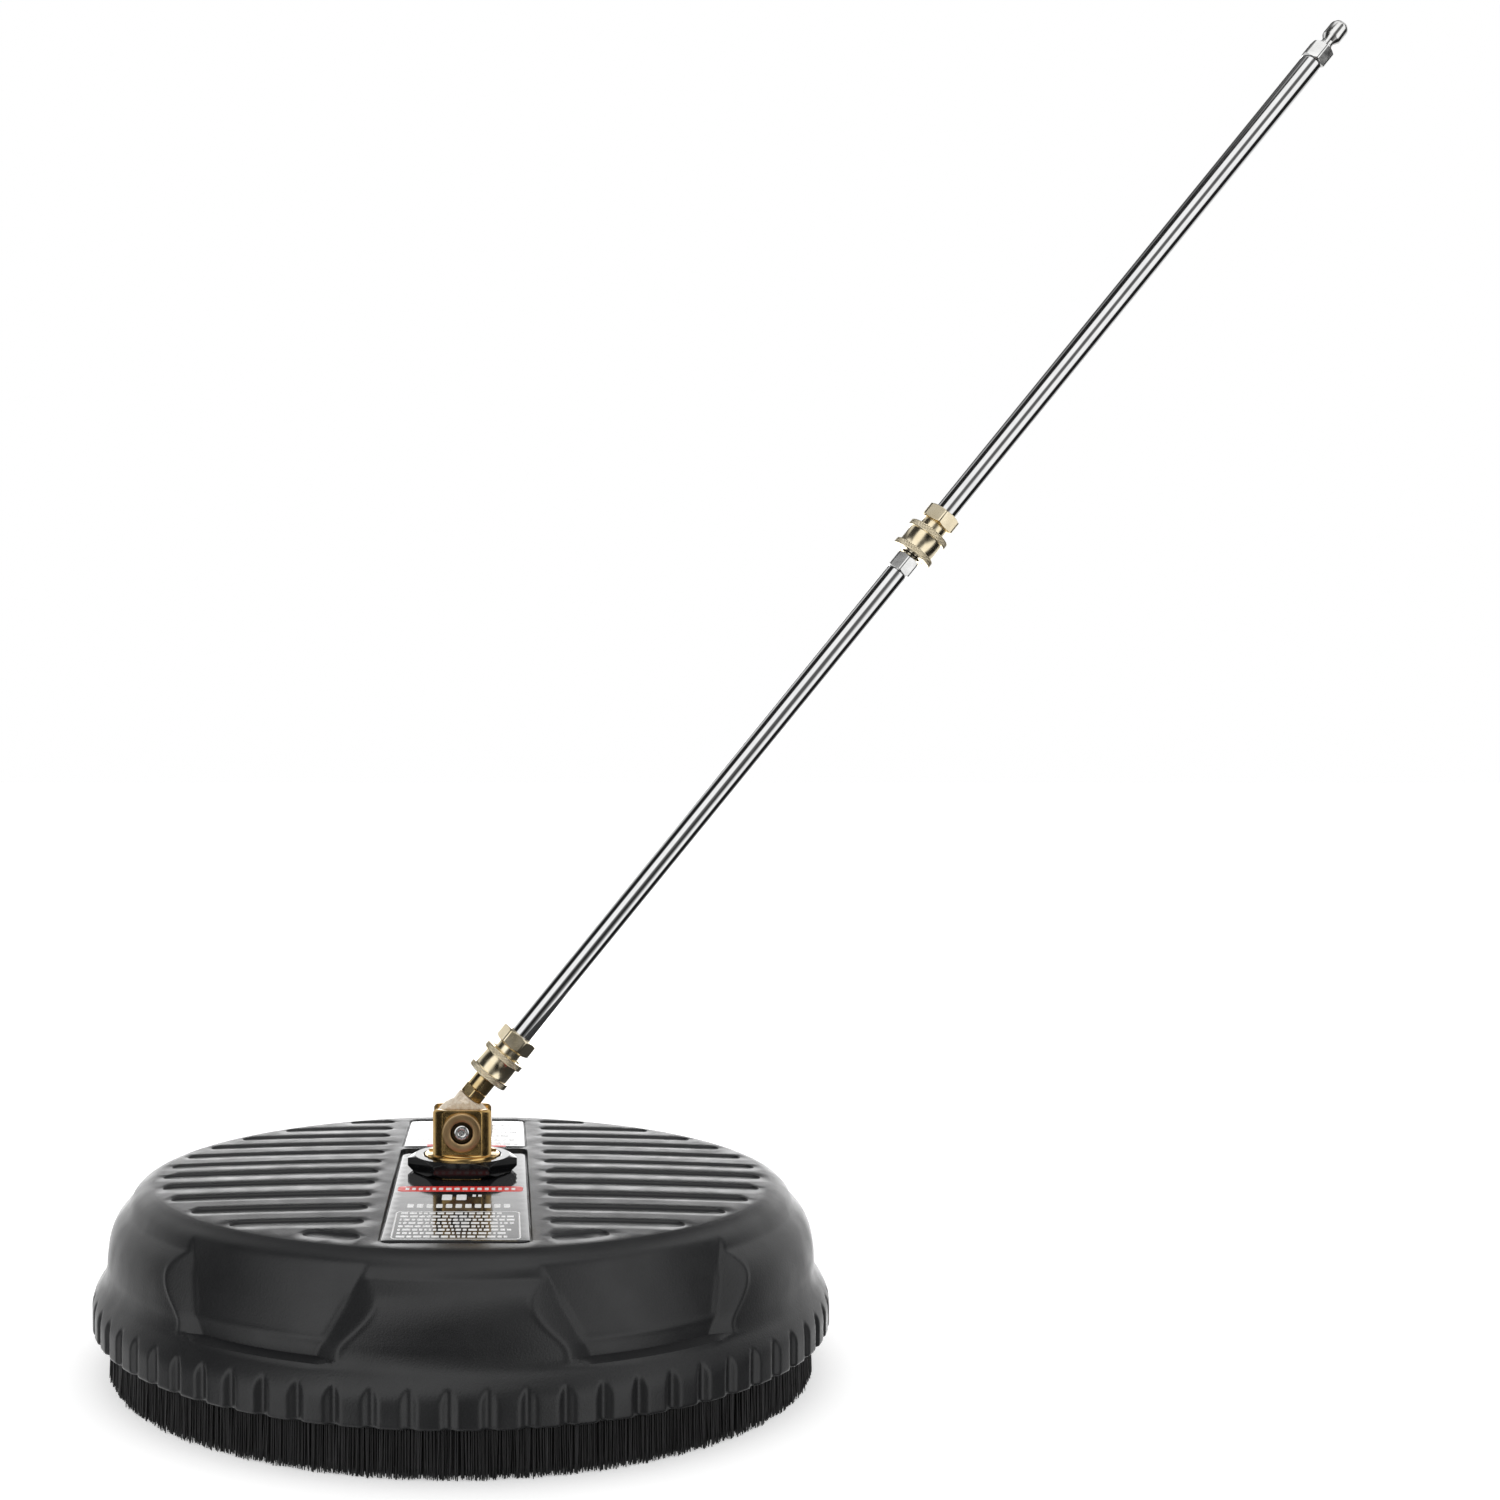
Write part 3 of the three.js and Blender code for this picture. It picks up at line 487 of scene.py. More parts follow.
PALE_BRASS = turned_metal("pale_brass", (0.82, 0.7, 0.47), (0.95, 0.85, 0.64), 0.16, 0.27, ACROSS_Z,
                          ACROSS_WAND)
ALONG_WAND = (2600, 2600, 12)
STAINLESS = turned_metal("stainless", (0.7, 0.7, 0.705), (0.78, 0.78, 0.78), 0.06, 0.12, ALONG_WAND,
                         ACROSS_WAND, 0.0000005)
PLUG_STEEL = turned_metal("plug_steel", (0.7, 0.7, 0.69), (0.86, 0.86, 0.85), 0.12, 0.24, ACROSS_Z,
                          ACROSS_WAND)
STEEL = turned_metal("steel", (0.4, 0.4, 0.41), (0.55, 0.55, 0.55), 0.2, 0.35, ACROSS_Z)
RUBBER = rubber_ring()


# ---- deck

def plateau_height(r):
    return DECK_TOP - CROWN * np.asarray(r) ** 2


def spline(points, spacing):
    """A smooth curve through points, sampled about every spacing."""
    p = np.array(points, float)
    padded = np.concatenate([[2 * p[0] - p[1]], p, [2 * p[-1] - p[-2]]])
    out = []
    for i in range(1, len(padded) - 2):
        p0, p1, p2, p3 = padded[i - 1:i + 3]
        steps = max(1, round(np.linalg.norm(p2 - p1) / spacing))
        for k in range(steps):
            t = k / steps
            out.append(0.5 * (2 * p1 + (p2 - p0) * t + (2 * p0 - 5 * p1 + 4 * p2 - p3) * t ** 2
                              + (3 * p1 - p0 - 3 * p2 + p3) * t ** 3))
    out.append(p[-1])
    return np.array(out)


OUTER_CURVE = [
    (PLATEAU_EDGE, float(plateau_height(PLATEAU_EDGE))), (171.5, 97.8), (175.3, 95.7), (178.1, 92.9),
    (179.7, 90.0), (180.7, 87.8), (183.2, 85.4), (186.6, 81.4), (189.2, 76.3), (190.9, 70), (191.8, 62),
    (192.2, 56), (193.6, 51), (196.4, 46.6), (198.8, 42), (199.8, 37.5), (199.8, 31), (199.8, 27.2),
]
RIM_CURVE = [(199.5, 26.2), (198.6, 25.7), (197.2, 25.7), (196.3, 26.6)]
CAVITY_CURVE = [(196.2, 40.5), (188.6, 55), (187.4, 69), (178, 84), (174.6, 91), (166, 94), (39, 97.1)]


def panel_radius(angles, z):
    """Radius of the recessed panels' own surface: leaning face, upright band, shelf and side slopes."""
    face = PANEL_DEEP - (z - PANEL_SILL) * PANEL_LEAN
    shelf = PANEL_DEEP + (PANEL_SHELF - z) * SHELF_SLOPE
    floor = smooth_max(smooth_min(face, PANEL_DEEP, 0.8), shelf, 0.8)
    half = np.radians(PANEL_HALF + PANEL_SPREAD * (z - PANEL_SILL))
    cut = np.full(np.broadcast(angles, z).shape, 400.0)
    for degrees in PANEL_ANGLES:
        off = np.abs((angles - math.radians(degrees) + math.pi) % TAU - math.pi)
        beside = (off - half) * 186 * 0.93
        near = smooth_min(-beside, z - PANEL_SILL, 1.5)
        bead = 0.45 * np.exp(-((near - 0.4) / 1.3) ** 2) * smooth_step((PANEL_FADE - z) / PANEL_FADE_RANGE)
        slope = floor + np.maximum(0, beside) * 0.46
        cut = np.minimum(cut, slope + bead)
    return cut


def fluted(angles, radii):
    """The rim's shallow upright flutes: the wall drawn in to a softly waved cylinder."""
    pitch = TAU / FLUTES
    arc = ((angles + 0.008 + pitch / 2) % pitch - pitch / 2) * RIM_RADIUS
    wave = 0.5 + 0.5 * np.cos(np.clip(arc / FLUTE_HALF, -1, 1) * math.pi)
    return smooth_min(radii, RIM_RADIUS + 0.2 - FLUTE_DEPTH * wave, 0.5)


def groove_path(row, side):
    """The middle line of one groove."""
    y = (row - (GROOVE_ROWS - 1) / 2) * GROOVE_PITCH
    outer = math.sqrt(GROOVE_CIRCLE ** 2 - y ** 2)
    start, end = GROOVE_INNER + GROOVE_HALF, outer - GROOVE_HALF
    xs = np.linspace(start, end, max(3, round((end - start) / 9)))
    bend = np.zeros_like(xs)
    if row == 0:
        bend = (np.sqrt(np.maximum(0, 158.5 ** 2 - xs ** 2)) - math.sqrt(158.5 ** 2 - start ** 2)) * -1.0
    return np.stack([side * xs, y + bend], 1)


def buffered(path, radius, cap=12):
    """The outline at a distance round an open line."""
    step = np.gradient(path, axis=0)
    step /= np.linalg.norm(step, axis=1)[:, None]
    side = np.stack([-step[:, 1], step[:, 0]], 1)
    start = math.atan2(side[-1, 1], side[-1, 0])
    end = math.atan2(-side[0, 1], -side[0, 0])
    angles = [start - math.pi * k / cap for k in range(1, cap)]
    tip = path[-1] + radius * np.array([(math.cos(a), math.sin(a)) for a in angles])
    angles = [end - math.pi * k / cap for k in range(1, cap)]
    tail = path[0] + radius * np.array([(math.cos(a), math.sin(a)) for a in angles])
    return np.concatenate([path + radius * side, tip, (path - radius * side)[::-1], tail])


def path_distance(points, path):
    best = np.full(len(points), 1e9)
    for a, b in zip(path, path[1:]):
        ab = b - a
        t = np.clip(((points - a) @ ab) / (ab @ ab), 0, 1)
        best = np.minimum(best, np.linalg.norm(points - a - t[:, None] * ab, axis=1))
    return best


def rounded_outline(x0, y0, x1, y1, radius, spacing=6.0, corner=8):
    centres = [(x1 - radius, y1 - radius), (x0 + radius, y1 - radius), (x0 + radius, y0 + radius),
               (x1 - radius, y0 + radius)]
    out = []
    for i, (cx, cy) in enumerate(centres):
        arc = [(cx + radius * math.cos(a), cy + radius * math.sin(a))
               for a in np.linspace(i * math.pi / 2, (i + 1) * math.pi / 2, corner + 1)]
        nx, ny = centres[(i + 1) % 4]
        a = (i + 1) * math.pi / 2
        after = (nx + radius * math.cos(a), ny + radius * math.sin(a))
        steps = max(1, round(math.dist(arc[-1], after) / spacing))
        line = [(arc[-1][0] + (after[0] - arc[-1][0]) * k / steps,
                 arc[-1][1] + (after[1] - arc[-1][1]) * k / steps)
                for k in range(1, steps)]
        out += arc + line
    return np.array(out)


def rounded_distance(points, x0, y0, x1, y1, radius):
    centre = np.array([(x0 + x1) / 2, (y0 + y1) / 2])
    half = np.array([(x1 - x0) / 2, (y1 - y0) / 2]) - radius
    q = np.abs(points - centre) - half
    return np.linalg.norm(np.maximum(q, 0), axis=1) + np.minimum(q.max(axis=1), 0) - radius


POCKETS = [
    (-STRIP_HALF, STRIP_FRONT, STRIP_HALF, STRIP_STEP, POCKET_CORNER),
    (-STRIP_HALF, STRIP_STEP + 2, STRIP_HALF, STRIP_REAR, POCKET_CORNER),
]
GROOVES = [groove_path(row, side) for row in range(GROOVE_ROWS) for side in (-1, 1)]
EDGE_OUT = 0.35
EDGE_IN = 0.3


def sunk(distance, depth):
    return depth * smooth_step((EDGE_OUT - distance) / (EDGE_OUT + EDGE_IN))


def front_face(points):
    """Height of the front film's flat face."""
    return FRONT_FILM + FRONT_SLOPE * points[:, 1]


def rear_face(points):
    return plateau_height(np.hypot(points[:, 0], points[:, 1])) - (REAR_POCKET - 0.8)


def top_depth(points):
    """How far the deck's top lies under its crown."""
    depth = np.zeros(len(points))
    for path in GROOVES:
        depth = np.maximum(depth, sunk(path_distance(points, path) - GROOVE_HALF, GROOVE_DEPTH))
    crown = plateau_height(np.hypot(points[:, 0], points[:, 1]))
    front = crown - (front_face(points) - 0.8)
    depth = np.maximum(depth, sunk(rounded_distance(points, *POCKETS[0]), front))
    return np.maximum(depth, sunk(rounded_distance(points, *POCKETS[1]), REAR_POCKET))


def triangulated(loops, extra=()):
    """Flat triangles over closed loops and loose points."""
    points, edges = [], []
    for loop in loops:
        start = len(points)
        points += [Vector((float(x), float(y))) for x, y in loop]
        edges += [(start + i, start + (i + 1) % len(loop)) for i in range(len(loop))]
    points += [Vector((float(x), float(y))) for x, y in extra]
    flat, _, faces, _, _, _ = delaunay_2d_cdt(points, edges, [], 0, 1e-4, False)
    return np.array([tuple(p) for p in flat]), [tuple(f) for f in faces]


def circle(radius, count, centre=(0, 0)):
    a = np.arange(count) * TAU / count
    return np.stack([centre[0] + radius * np.sin(a), centre[1] - radius * np.cos(a)], 1)


def lattice(x0, y0, x1, y1, spacing):
    xs = np.arange(x0, x1, spacing)
    ys = np.arange(y0, y1, spacing * 0.866)
    return np.array([(x + (spacing / 2 if k % 2 else 0), y) for k, y in enumerate(ys) for x in xs])


def deck_top():
    offsets = [EDGE_OUT + (-EDGE_IN - EDGE_OUT) * k / 6 for k in range(7)]
    loops = [circle(PLATEAU_EDGE, DECK_COLUMNS), circle(DECK_HOLE, HOLE_COLUMNS)]
    for path in GROOVES:
        loops += [buffered(path, GROOVE_HALF + o) for o in offsets]
    for x0, y0, x1, y1, radius in POCKETS:
        loops += [rounded_outline(x0 - o, y0 - o, x1 + o, y1 + o, radius + o) for o in offsets]
    loose = lattice(-165, -165, 165, 165, 8.0)
    far = np.hypot(loose[:, 0], loose[:, 1])
    keep = (far < PLATEAU_EDGE - 3) & (far > DECK_HOLE + 3)
    near = np.full(len(loose), 1e9)
    for path in GROOVES:
        near = np.minimum(near, np.abs(path_distance(loose, path) - GROOVE_HALF))
    for sizes in POCKETS:
        near = np.minimum(near, np.abs(rounded_distance(loose, *sizes)))
    flat, faces = triangulated(loops, loose[keep & (near > 2.5)])
    middle = np.array([flat[list(f)].mean(axis=0) for f in faces])
    outside = np.hypot(middle[:, 0], middle[:, 1]) > DECK_HOLE * 0.998
    faces = [f for f, good in zip(faces, outside) if good]
    z = plateau_height(np.hypot(flat[:, 0], flat[:, 1])) - top_depth(flat)
    return np.column_stack([flat, z]), faces


def wall_rows():
    outer = spline(OUTER_CURVE, 1.0)
    inner = resampled([tuple(p) for p in [(196.2, 27.2)] + CAVITY_CURVE], 3.0)
    return outer, np.array(RIM_CURVE, float), np.array([p[:2] for p in inner], float)


def deck_sides():
    outer, rim, inner = wall_rows()
    angles = np.arange(DECK_COLUMNS) * TAU / DECK_COLUMNS
    rows = []
    for r, z in outer:
        radii = np.full(DECK_COLUMNS, r)
        if PANEL_BOTTOM - 4 < z < 96:
            cut = panel_radius(angles, np.full(DECK_COLUMNS, z))
            gap = (cut - radii) / (SHELF_SLOPE if z < PANEL_SHELF else 1.0)
            lip = 0.55 * np.exp(-((gap - 0.5) / 0.8) ** 2) * smooth_step((PANEL_FADE - z) / PANEL_FADE_RANGE)
            radii = smooth_min(radii + lip, cut, 0.9)
        if z < 48:
            radii = fluted(angles, radii)
        rows.append((radii, np.full(DECK_COLUMNS, z)))
    for r, z in rim:
        radii = np.full(DECK_COLUMNS, r)
        rows.append((radii - (RIM_RADIUS - fluted(angles, np.full(DECK_COLUMNS, RIM_RADIUS))) * (r > 198),
                     np.full(DECK_COLUMNS, z)))
    for r, z in inner:
        radii = np.full(DECK_COLUMNS, r)
        if 45 < z < 94:
            radii = np.minimum(radii, panel_radius(angles, np.full(DECK_COLUMNS, z)) - SHELL)
        rows.append((radii, np.full(DECK_COLUMNS, z)))
    points = np.concatenate([np.column_stack([r * np.sin(angles), -r * np.cos(angles), z]) for r, z in rows])
    faces = []
    for k in range(len(rows) - 1):
        base = k * DECK_COLUMNS
        for i in range(DECK_COLUMNS):
            j = (i + 1) % DECK_COLUMNS
            faces.append((base + i, base + j, base + DECK_COLUMNS + j, base + DECK_COLUMNS + i))
    last = (len(rows) - 1) * DECK_COLUMNS
    start = len(points)
    hole = circle(DECK_HOLE, HOLE_COLUMNS)
    top = plateau_height(np.hypot(hole[:, 0], hole[:, 1])) - top_depth(hole)
    bottom = np.column_stack([hole, np.full(HOLE_COLUMNS, 97.1)])
    points = np.concatenate([points, bottom, np.column_stack([hole, top])])
    share = DECK_COLUMNS // HOLE_COLUMNS
    for i in range(DECK_COLUMNS):
        a, b = last + i, last + (i + 1) % DECK_COLUMNS
        p = start + round(i / share) % HOLE_COLUMNS
        q = start + round((i + 1) / share) % HOLE_COLUMNS
        faces.append((a, b, q) if p == q else (a, b, q, p))
    for i in range(HOLE_COLUMNS):
        j = (i + 1) % HOLE_COLUMNS
        faces.append((start + i, start + j, start + HOLE_COLUMNS + j, start + HOLE_COLUMNS + i))
    return points, faces


def screw_bosses():
    parts = []
    for k in range(4):
        a = TAU * (k + 0.5) / 4
        p, f = turned([(2.3, 58)] + [(2.3, 40.2), (2.7, 39.8), (5.6, 39.8), (6, 40.2), (6, 80), (0, 80)], 32)
        p = p + [172.5, 0, 0]
        rib = boxed(176, -2, 39.8, 180.5, 2, 79)
        for points, faces in ((p, f), rib):
            c, s = math.cos(a), math.sin(a)
            x, y = points[:, 0] * c - points[:, 1] * s, points[:, 0] * s + points[:, 1] * c
            parts.append((np.column_stack([x, y, points[:, 2]]), faces))
    return parts


def build_deck():
    points, faces = joined([deck_top(), deck_sides()])
    make("deck_body", points, faces, DECK_PLASTIC, "deck", "black_plastic", ["deck_shell"], sharp=50)
    points, faces = joined(screw_bosses())
    make("deck_bosses", points, faces, DECK_PLASTIC, "deck", "black_plastic")


# ---- labels

def plate(outer, holes, face, thick, lift=0.0, spacing=6.0, edge=0.25):
    """A thin plate whose top follows face(points), raised by lift."""
    x0, y0, x1, y1, radius = outer
    loops = [rounded_outline(x0 + o, y0 + o, x1 - o, y1 - o, radius - o, spacing) for o in (0, edge)]
    loops += [circle(r + o, 96) for r in holes for o in (0, edge)]
    loose = lattice(x0, y0, x1, y1, spacing)
    keep = rounded_distance(loose, *outer) < -2
    for r in holes:
        keep &= np.hypot(loose[:, 0], loose[:, 1]) > r + 2
    flat, faces = triangulated(loops, loose[keep])
    middle = np.array([flat[list(f)].mean(axis=0) for f in faces])
    good = rounded_distance(middle, *outer) < 1e-3
    for r in holes:
        good &= np.hypot(middle[:, 0], middle[:, 1]) > r * 0.999
    faces = [f for f, g in zip(faces, good) if g]
    inset = -rounded_distance(flat, *outer)
    for r in holes:
        inset = np.minimum(inset, np.hypot(flat[:, 0], flat[:, 1]) - r)
    top = face(flat) + lift
    rolled = top - 0.12 * thick / 0.5 * (1 - smooth_step(inset / edge))
    count = len(flat)
    points = np.concatenate([np.column_stack([flat, rolled]), np.column_stack([flat, top - thick])])
    sides = {}
    for f in faces:
        for a, b in zip(f, f[1:] + f[:1]):
            sides[(a, b)] = sides.get((a, b), 0) + 1
    rim = [(a, b) for a, b in sides if (b, a) not in sides]
    walls = [(a, b, b + count, a + count) for a, b in rim]
    return points, list(faces) + [tuple(i + count for i in f[::-1]) for f in faces] + walls


def ink_bar(x0, y0, x1, y1, face, radius=0.4, lift=0.03):
    """A printed bar, a little proud of the film."""
    return plate((x0, y0, x1, y1, radius), (), face, 0.06, lift, 5.0, min(radius, 0.2) * 0.5)


def ink_frame(x0, y0, x1, y1, width, radius, face):
    outer = rounded_outline(x0, y0, x1, y1, radius, 5.0)
    inner = rounded_outline(x0 + width, y0 + width, x1 - width, y1 - width, radius - width, 5.0)
    flat = np.concatenate([outer, inner])
    top = face(flat) + 0.03
    count, ring = len(flat), len(outer)
    points = np.concatenate([np.column_stack([flat, top]), np.column_stack([flat, top - 0.06])])
    faces = []
    for i in range(ring):
        j = (i + 1) % ring
        faces += [(i, j, ring + j, ring + i), (count + i, count + ring + i, count + ring + j, count + j),
                  (i, count + i, count + j, j), (ring + i, ring + j, count + ring + j, count + ring + i)]
    return points, faces


def ink_row(rng, x0, x1, y, half, face, shortest, longest, gap):
    """A row of plain blocks of mixed lengths."""
    bars = []
    x = x0
    while x < x1 - shortest:
        end = min(x + rng.uniform(shortest, longest), x1)
        bars.append(ink_bar(x, y - half, end, y + half, face, 0.35, WHITE_LIFT))
        x = end + gap
    return bars


def build_labels():
    """Both films and their print: plain bars and blocks, with no lettering."""
    edge = 1.2
    front = (-STRIP_HALF + edge, STRIP_FRONT + edge, STRIP_HALF - edge, STRIP_STEP - edge, 5.0)
    rear = (-STRIP_HALF + edge, STRIP_STEP + 2 + edge, STRIP_HALF - edge, STRIP_REAR - edge, 5.0)
    make("front_film", *plate(front, (22.0,), front_face, 0.5), FILM, "deck", "label", ["front_label"])
    make("rear_film", *plate(rear, (), rear_face, 0.5), FILM, "deck", "label", ["rear_label"])

    rng = random.Random(4)
    white = [ink_frame(-31, -149.5, 31, -95, 0.8, 3.5, front_face)]
    white += ink_row(rng, -29, 29, -46, 2.6, front_face, 1.8, 3.0, 1.5)
    white += [ink_bar(x - 2.6, -71, x + 2.6, -59, front_face, 1.0, WHITE_LIFT) for x in (-6.5, 1.0)]
    white += [ink_bar(x - 0.9, -63.5, x + 0.9, -59, front_face, 0.5, WHITE_LIFT) for x in (7.5, 10.5)]
    white += [ink_bar(x - 1.6, -87.5, x + 1.6, -79.5, front_face, 0.8, WHITE_LIFT)
              for x in np.linspace(-24.5, 24.5, 11)]
    for k in range(8):
        white += ink_row(rng, -28.5, 28.5 - rng.uniform(0, 7), -99 - k * 6.5, 1.75, front_face, 1.0, 4.2, 0.9)
    for k in range(6):
        white += ink_row(rng, 12, 31 - (k % 3) * 2, 66 + k * 13, 3.4, rear_face, 1.5, 5.0, 1.2)
    white.append(ink_bar(-31, 78, -8, 79.2, rear_face, 0.3, WHITE_LIFT))
    make("white_print", *joined(white), WHITE_INK, "deck", "label", sharp=0)
    red = [ink_bar(-33, -52, 33, -40, front_face, 3.0), ink_bar(-22, 56, -16, 63, rear_face, 0.8),
           ink_bar(14, 54.5, 24, 60, rear_face, 0.8)]
    make("red_print", *joined(red), RED_INK, "deck", "label", sharp=0)


# ---- brush

def build_brush():
    """Single bristles round a ribbed core that stops light, with their holder and its screws."""
    rng = np.random.default_rng(11)
    rows = 7
    per_row = 1450
    total = rows * per_row
    angle = (np.arange(total) % per_row + rng.uniform(-0.5, 0.5, total)) * TAU / per_row
    radius = 181.0 + (np.arange(total) // per_row) * 1.4 + rng.uniform(-0.5, 0.5, total)
    clump = np.sin(angle * 97) + np.sin(angle * 211 + 1.7) + 0.7 * np.sin(angle * 389 + 0.4)
    tip_angle = angle + (clump * 0.16 + rng.normal(0, 0.4, total)) / 190
    tip_radius = radius + rng.normal(0.2, 0.45, total)
    tip_z = np.clip(0.35 + 0.25 * np.sin(angle * 61) + rng.exponential(0.3, total), 0.0, 2.6)
    top_z = 36.0
    thick = rng.uniform(0.28, 0.4, total)
    levels = ((0.0, 1.0), (0.5, 1.0), (0.85, 1.0), (1.0, 0.8))
    sides = 4
    turn = rng.uniform(0, TAU, total)
    rings = []
    for share, width in levels:
        bow = share ** 1.6
        a = angle + (tip_angle - angle) * bow
        r = radius + (tip_radius - radius) * bow
        z = top_z + (tip_z - top_z) * share
        x, y = r * np.sin(a), -r * np.cos(a)
        for k in range(sides):
            b = turn + k * TAU / sides
            rings.append(np.column_stack([x + thick * width * np.cos(b), y + thick * width * np.sin(b), z]))
    points = np.stack(rings, 1).reshape(-1, 3)
    faces = []
    for n in range(total):
        start = n * len(levels) * sides
        for level in range(len(levels) - 1):
            low = start + level * sides
            for k in range(sides):
                j = (k + 1) % sides
                faces.append((low + k, low + j, low + sides + j, low + sides + k))
        faces.append(tuple(start + k for k in range(sides))[::-1])
        faces.append(tuple(start + (len(levels) - 1) * sides + k for k in range(sides)))
    half = total // 2 * len(levels) * sides
    face_half = total // 2 * ((len(levels) - 1) * sides + 2)
    rest = [tuple(i - half for i in f) for f in faces[face_half:]]
    for name, some, sides_of in (("bristles_inner", points[:half], faces[:face_half]),
                                 ("bristles_outer", points[half:], rest)):
        make(name, some, sides_of, BRISTLE, "deck", "nylon", ["brush_skirt"], sharp=100, merge=False)

    def ribbed(angles, radii, z):
        return radii + 0.35 * np.sin(angles * 700) + 0.2 * np.sin(angles * 311 + z)

    core = resampled([(183.2, 1.6), (186.8, 1.6), (186.8, 35.8), (183.2, 35.8)], 9)
    make("bristle_core", *turned(core, 2800, closed=True, shape=ribbed), BRISTLE, "deck", "nylon",
         ["brush_skirt"],
         sharp=0)

    ring = softened([(167, 36.5), (177, 36.5), (177, 27.5), (180, 27.5), (180, 36.5), (190.2, 36.5),
                     (190.2, 27.5), (195.6, 27.5), (195.6, 39.5), (167, 39.5)], 0.5, 2, closed=True)
    make("holder_ring", *turned(ring, 280, closed=True), DECK_PLASTIC, "deck", "black_plastic",
         ["brush_holder"])
    for k in range(4):
        a = TAU * (k + 0.5) / 4
        p, f = turned(softened([(0, 34.8), (1.2, 34.8), (1.2, 33.8), (3, 33.8), (4, 34.8), (4, 36.2),
                                (2, 36.2), (2, 54), (0, 54)], 0.25), 48)
        p = p + [172.5 * math.cos(a), 172.5 * math.sin(a), 0]
        make(f"screw_{k + 1}", p, f, STEEL, "deck", "steel", [f"brush_screw_{k + 1}"])


# ---- swivel

def hex_profile(flats, bottom, top, inner, circle_low, circle_high, rise, rows=10):
    """A chamfered hexagon as profile rows, from the inner radius round the outside and back."""
    corner = flats / math.sqrt(3)
    low = [(circle_low + (corner - circle_low) * k / rows, bottom + rise * k / rows, flats)
           for k in range(rows + 1)]
    high = [(corner - (corner - circle_high) * k / rows, top - rise + rise * k / rows, flats)
            for k in range(rows + 1)]
    return [(inner, bottom)] + low + high + [(inner, top)]


def pin_hole():
    """The pivot pin's clearance hole, cut through the yoke and the knuckle alike."""
    points, faces = turned([(0, -20), (PIN_HOLE, -20), (PIN_HOLE, 20), (0, 20)], 64)
    return along_y(points), faces


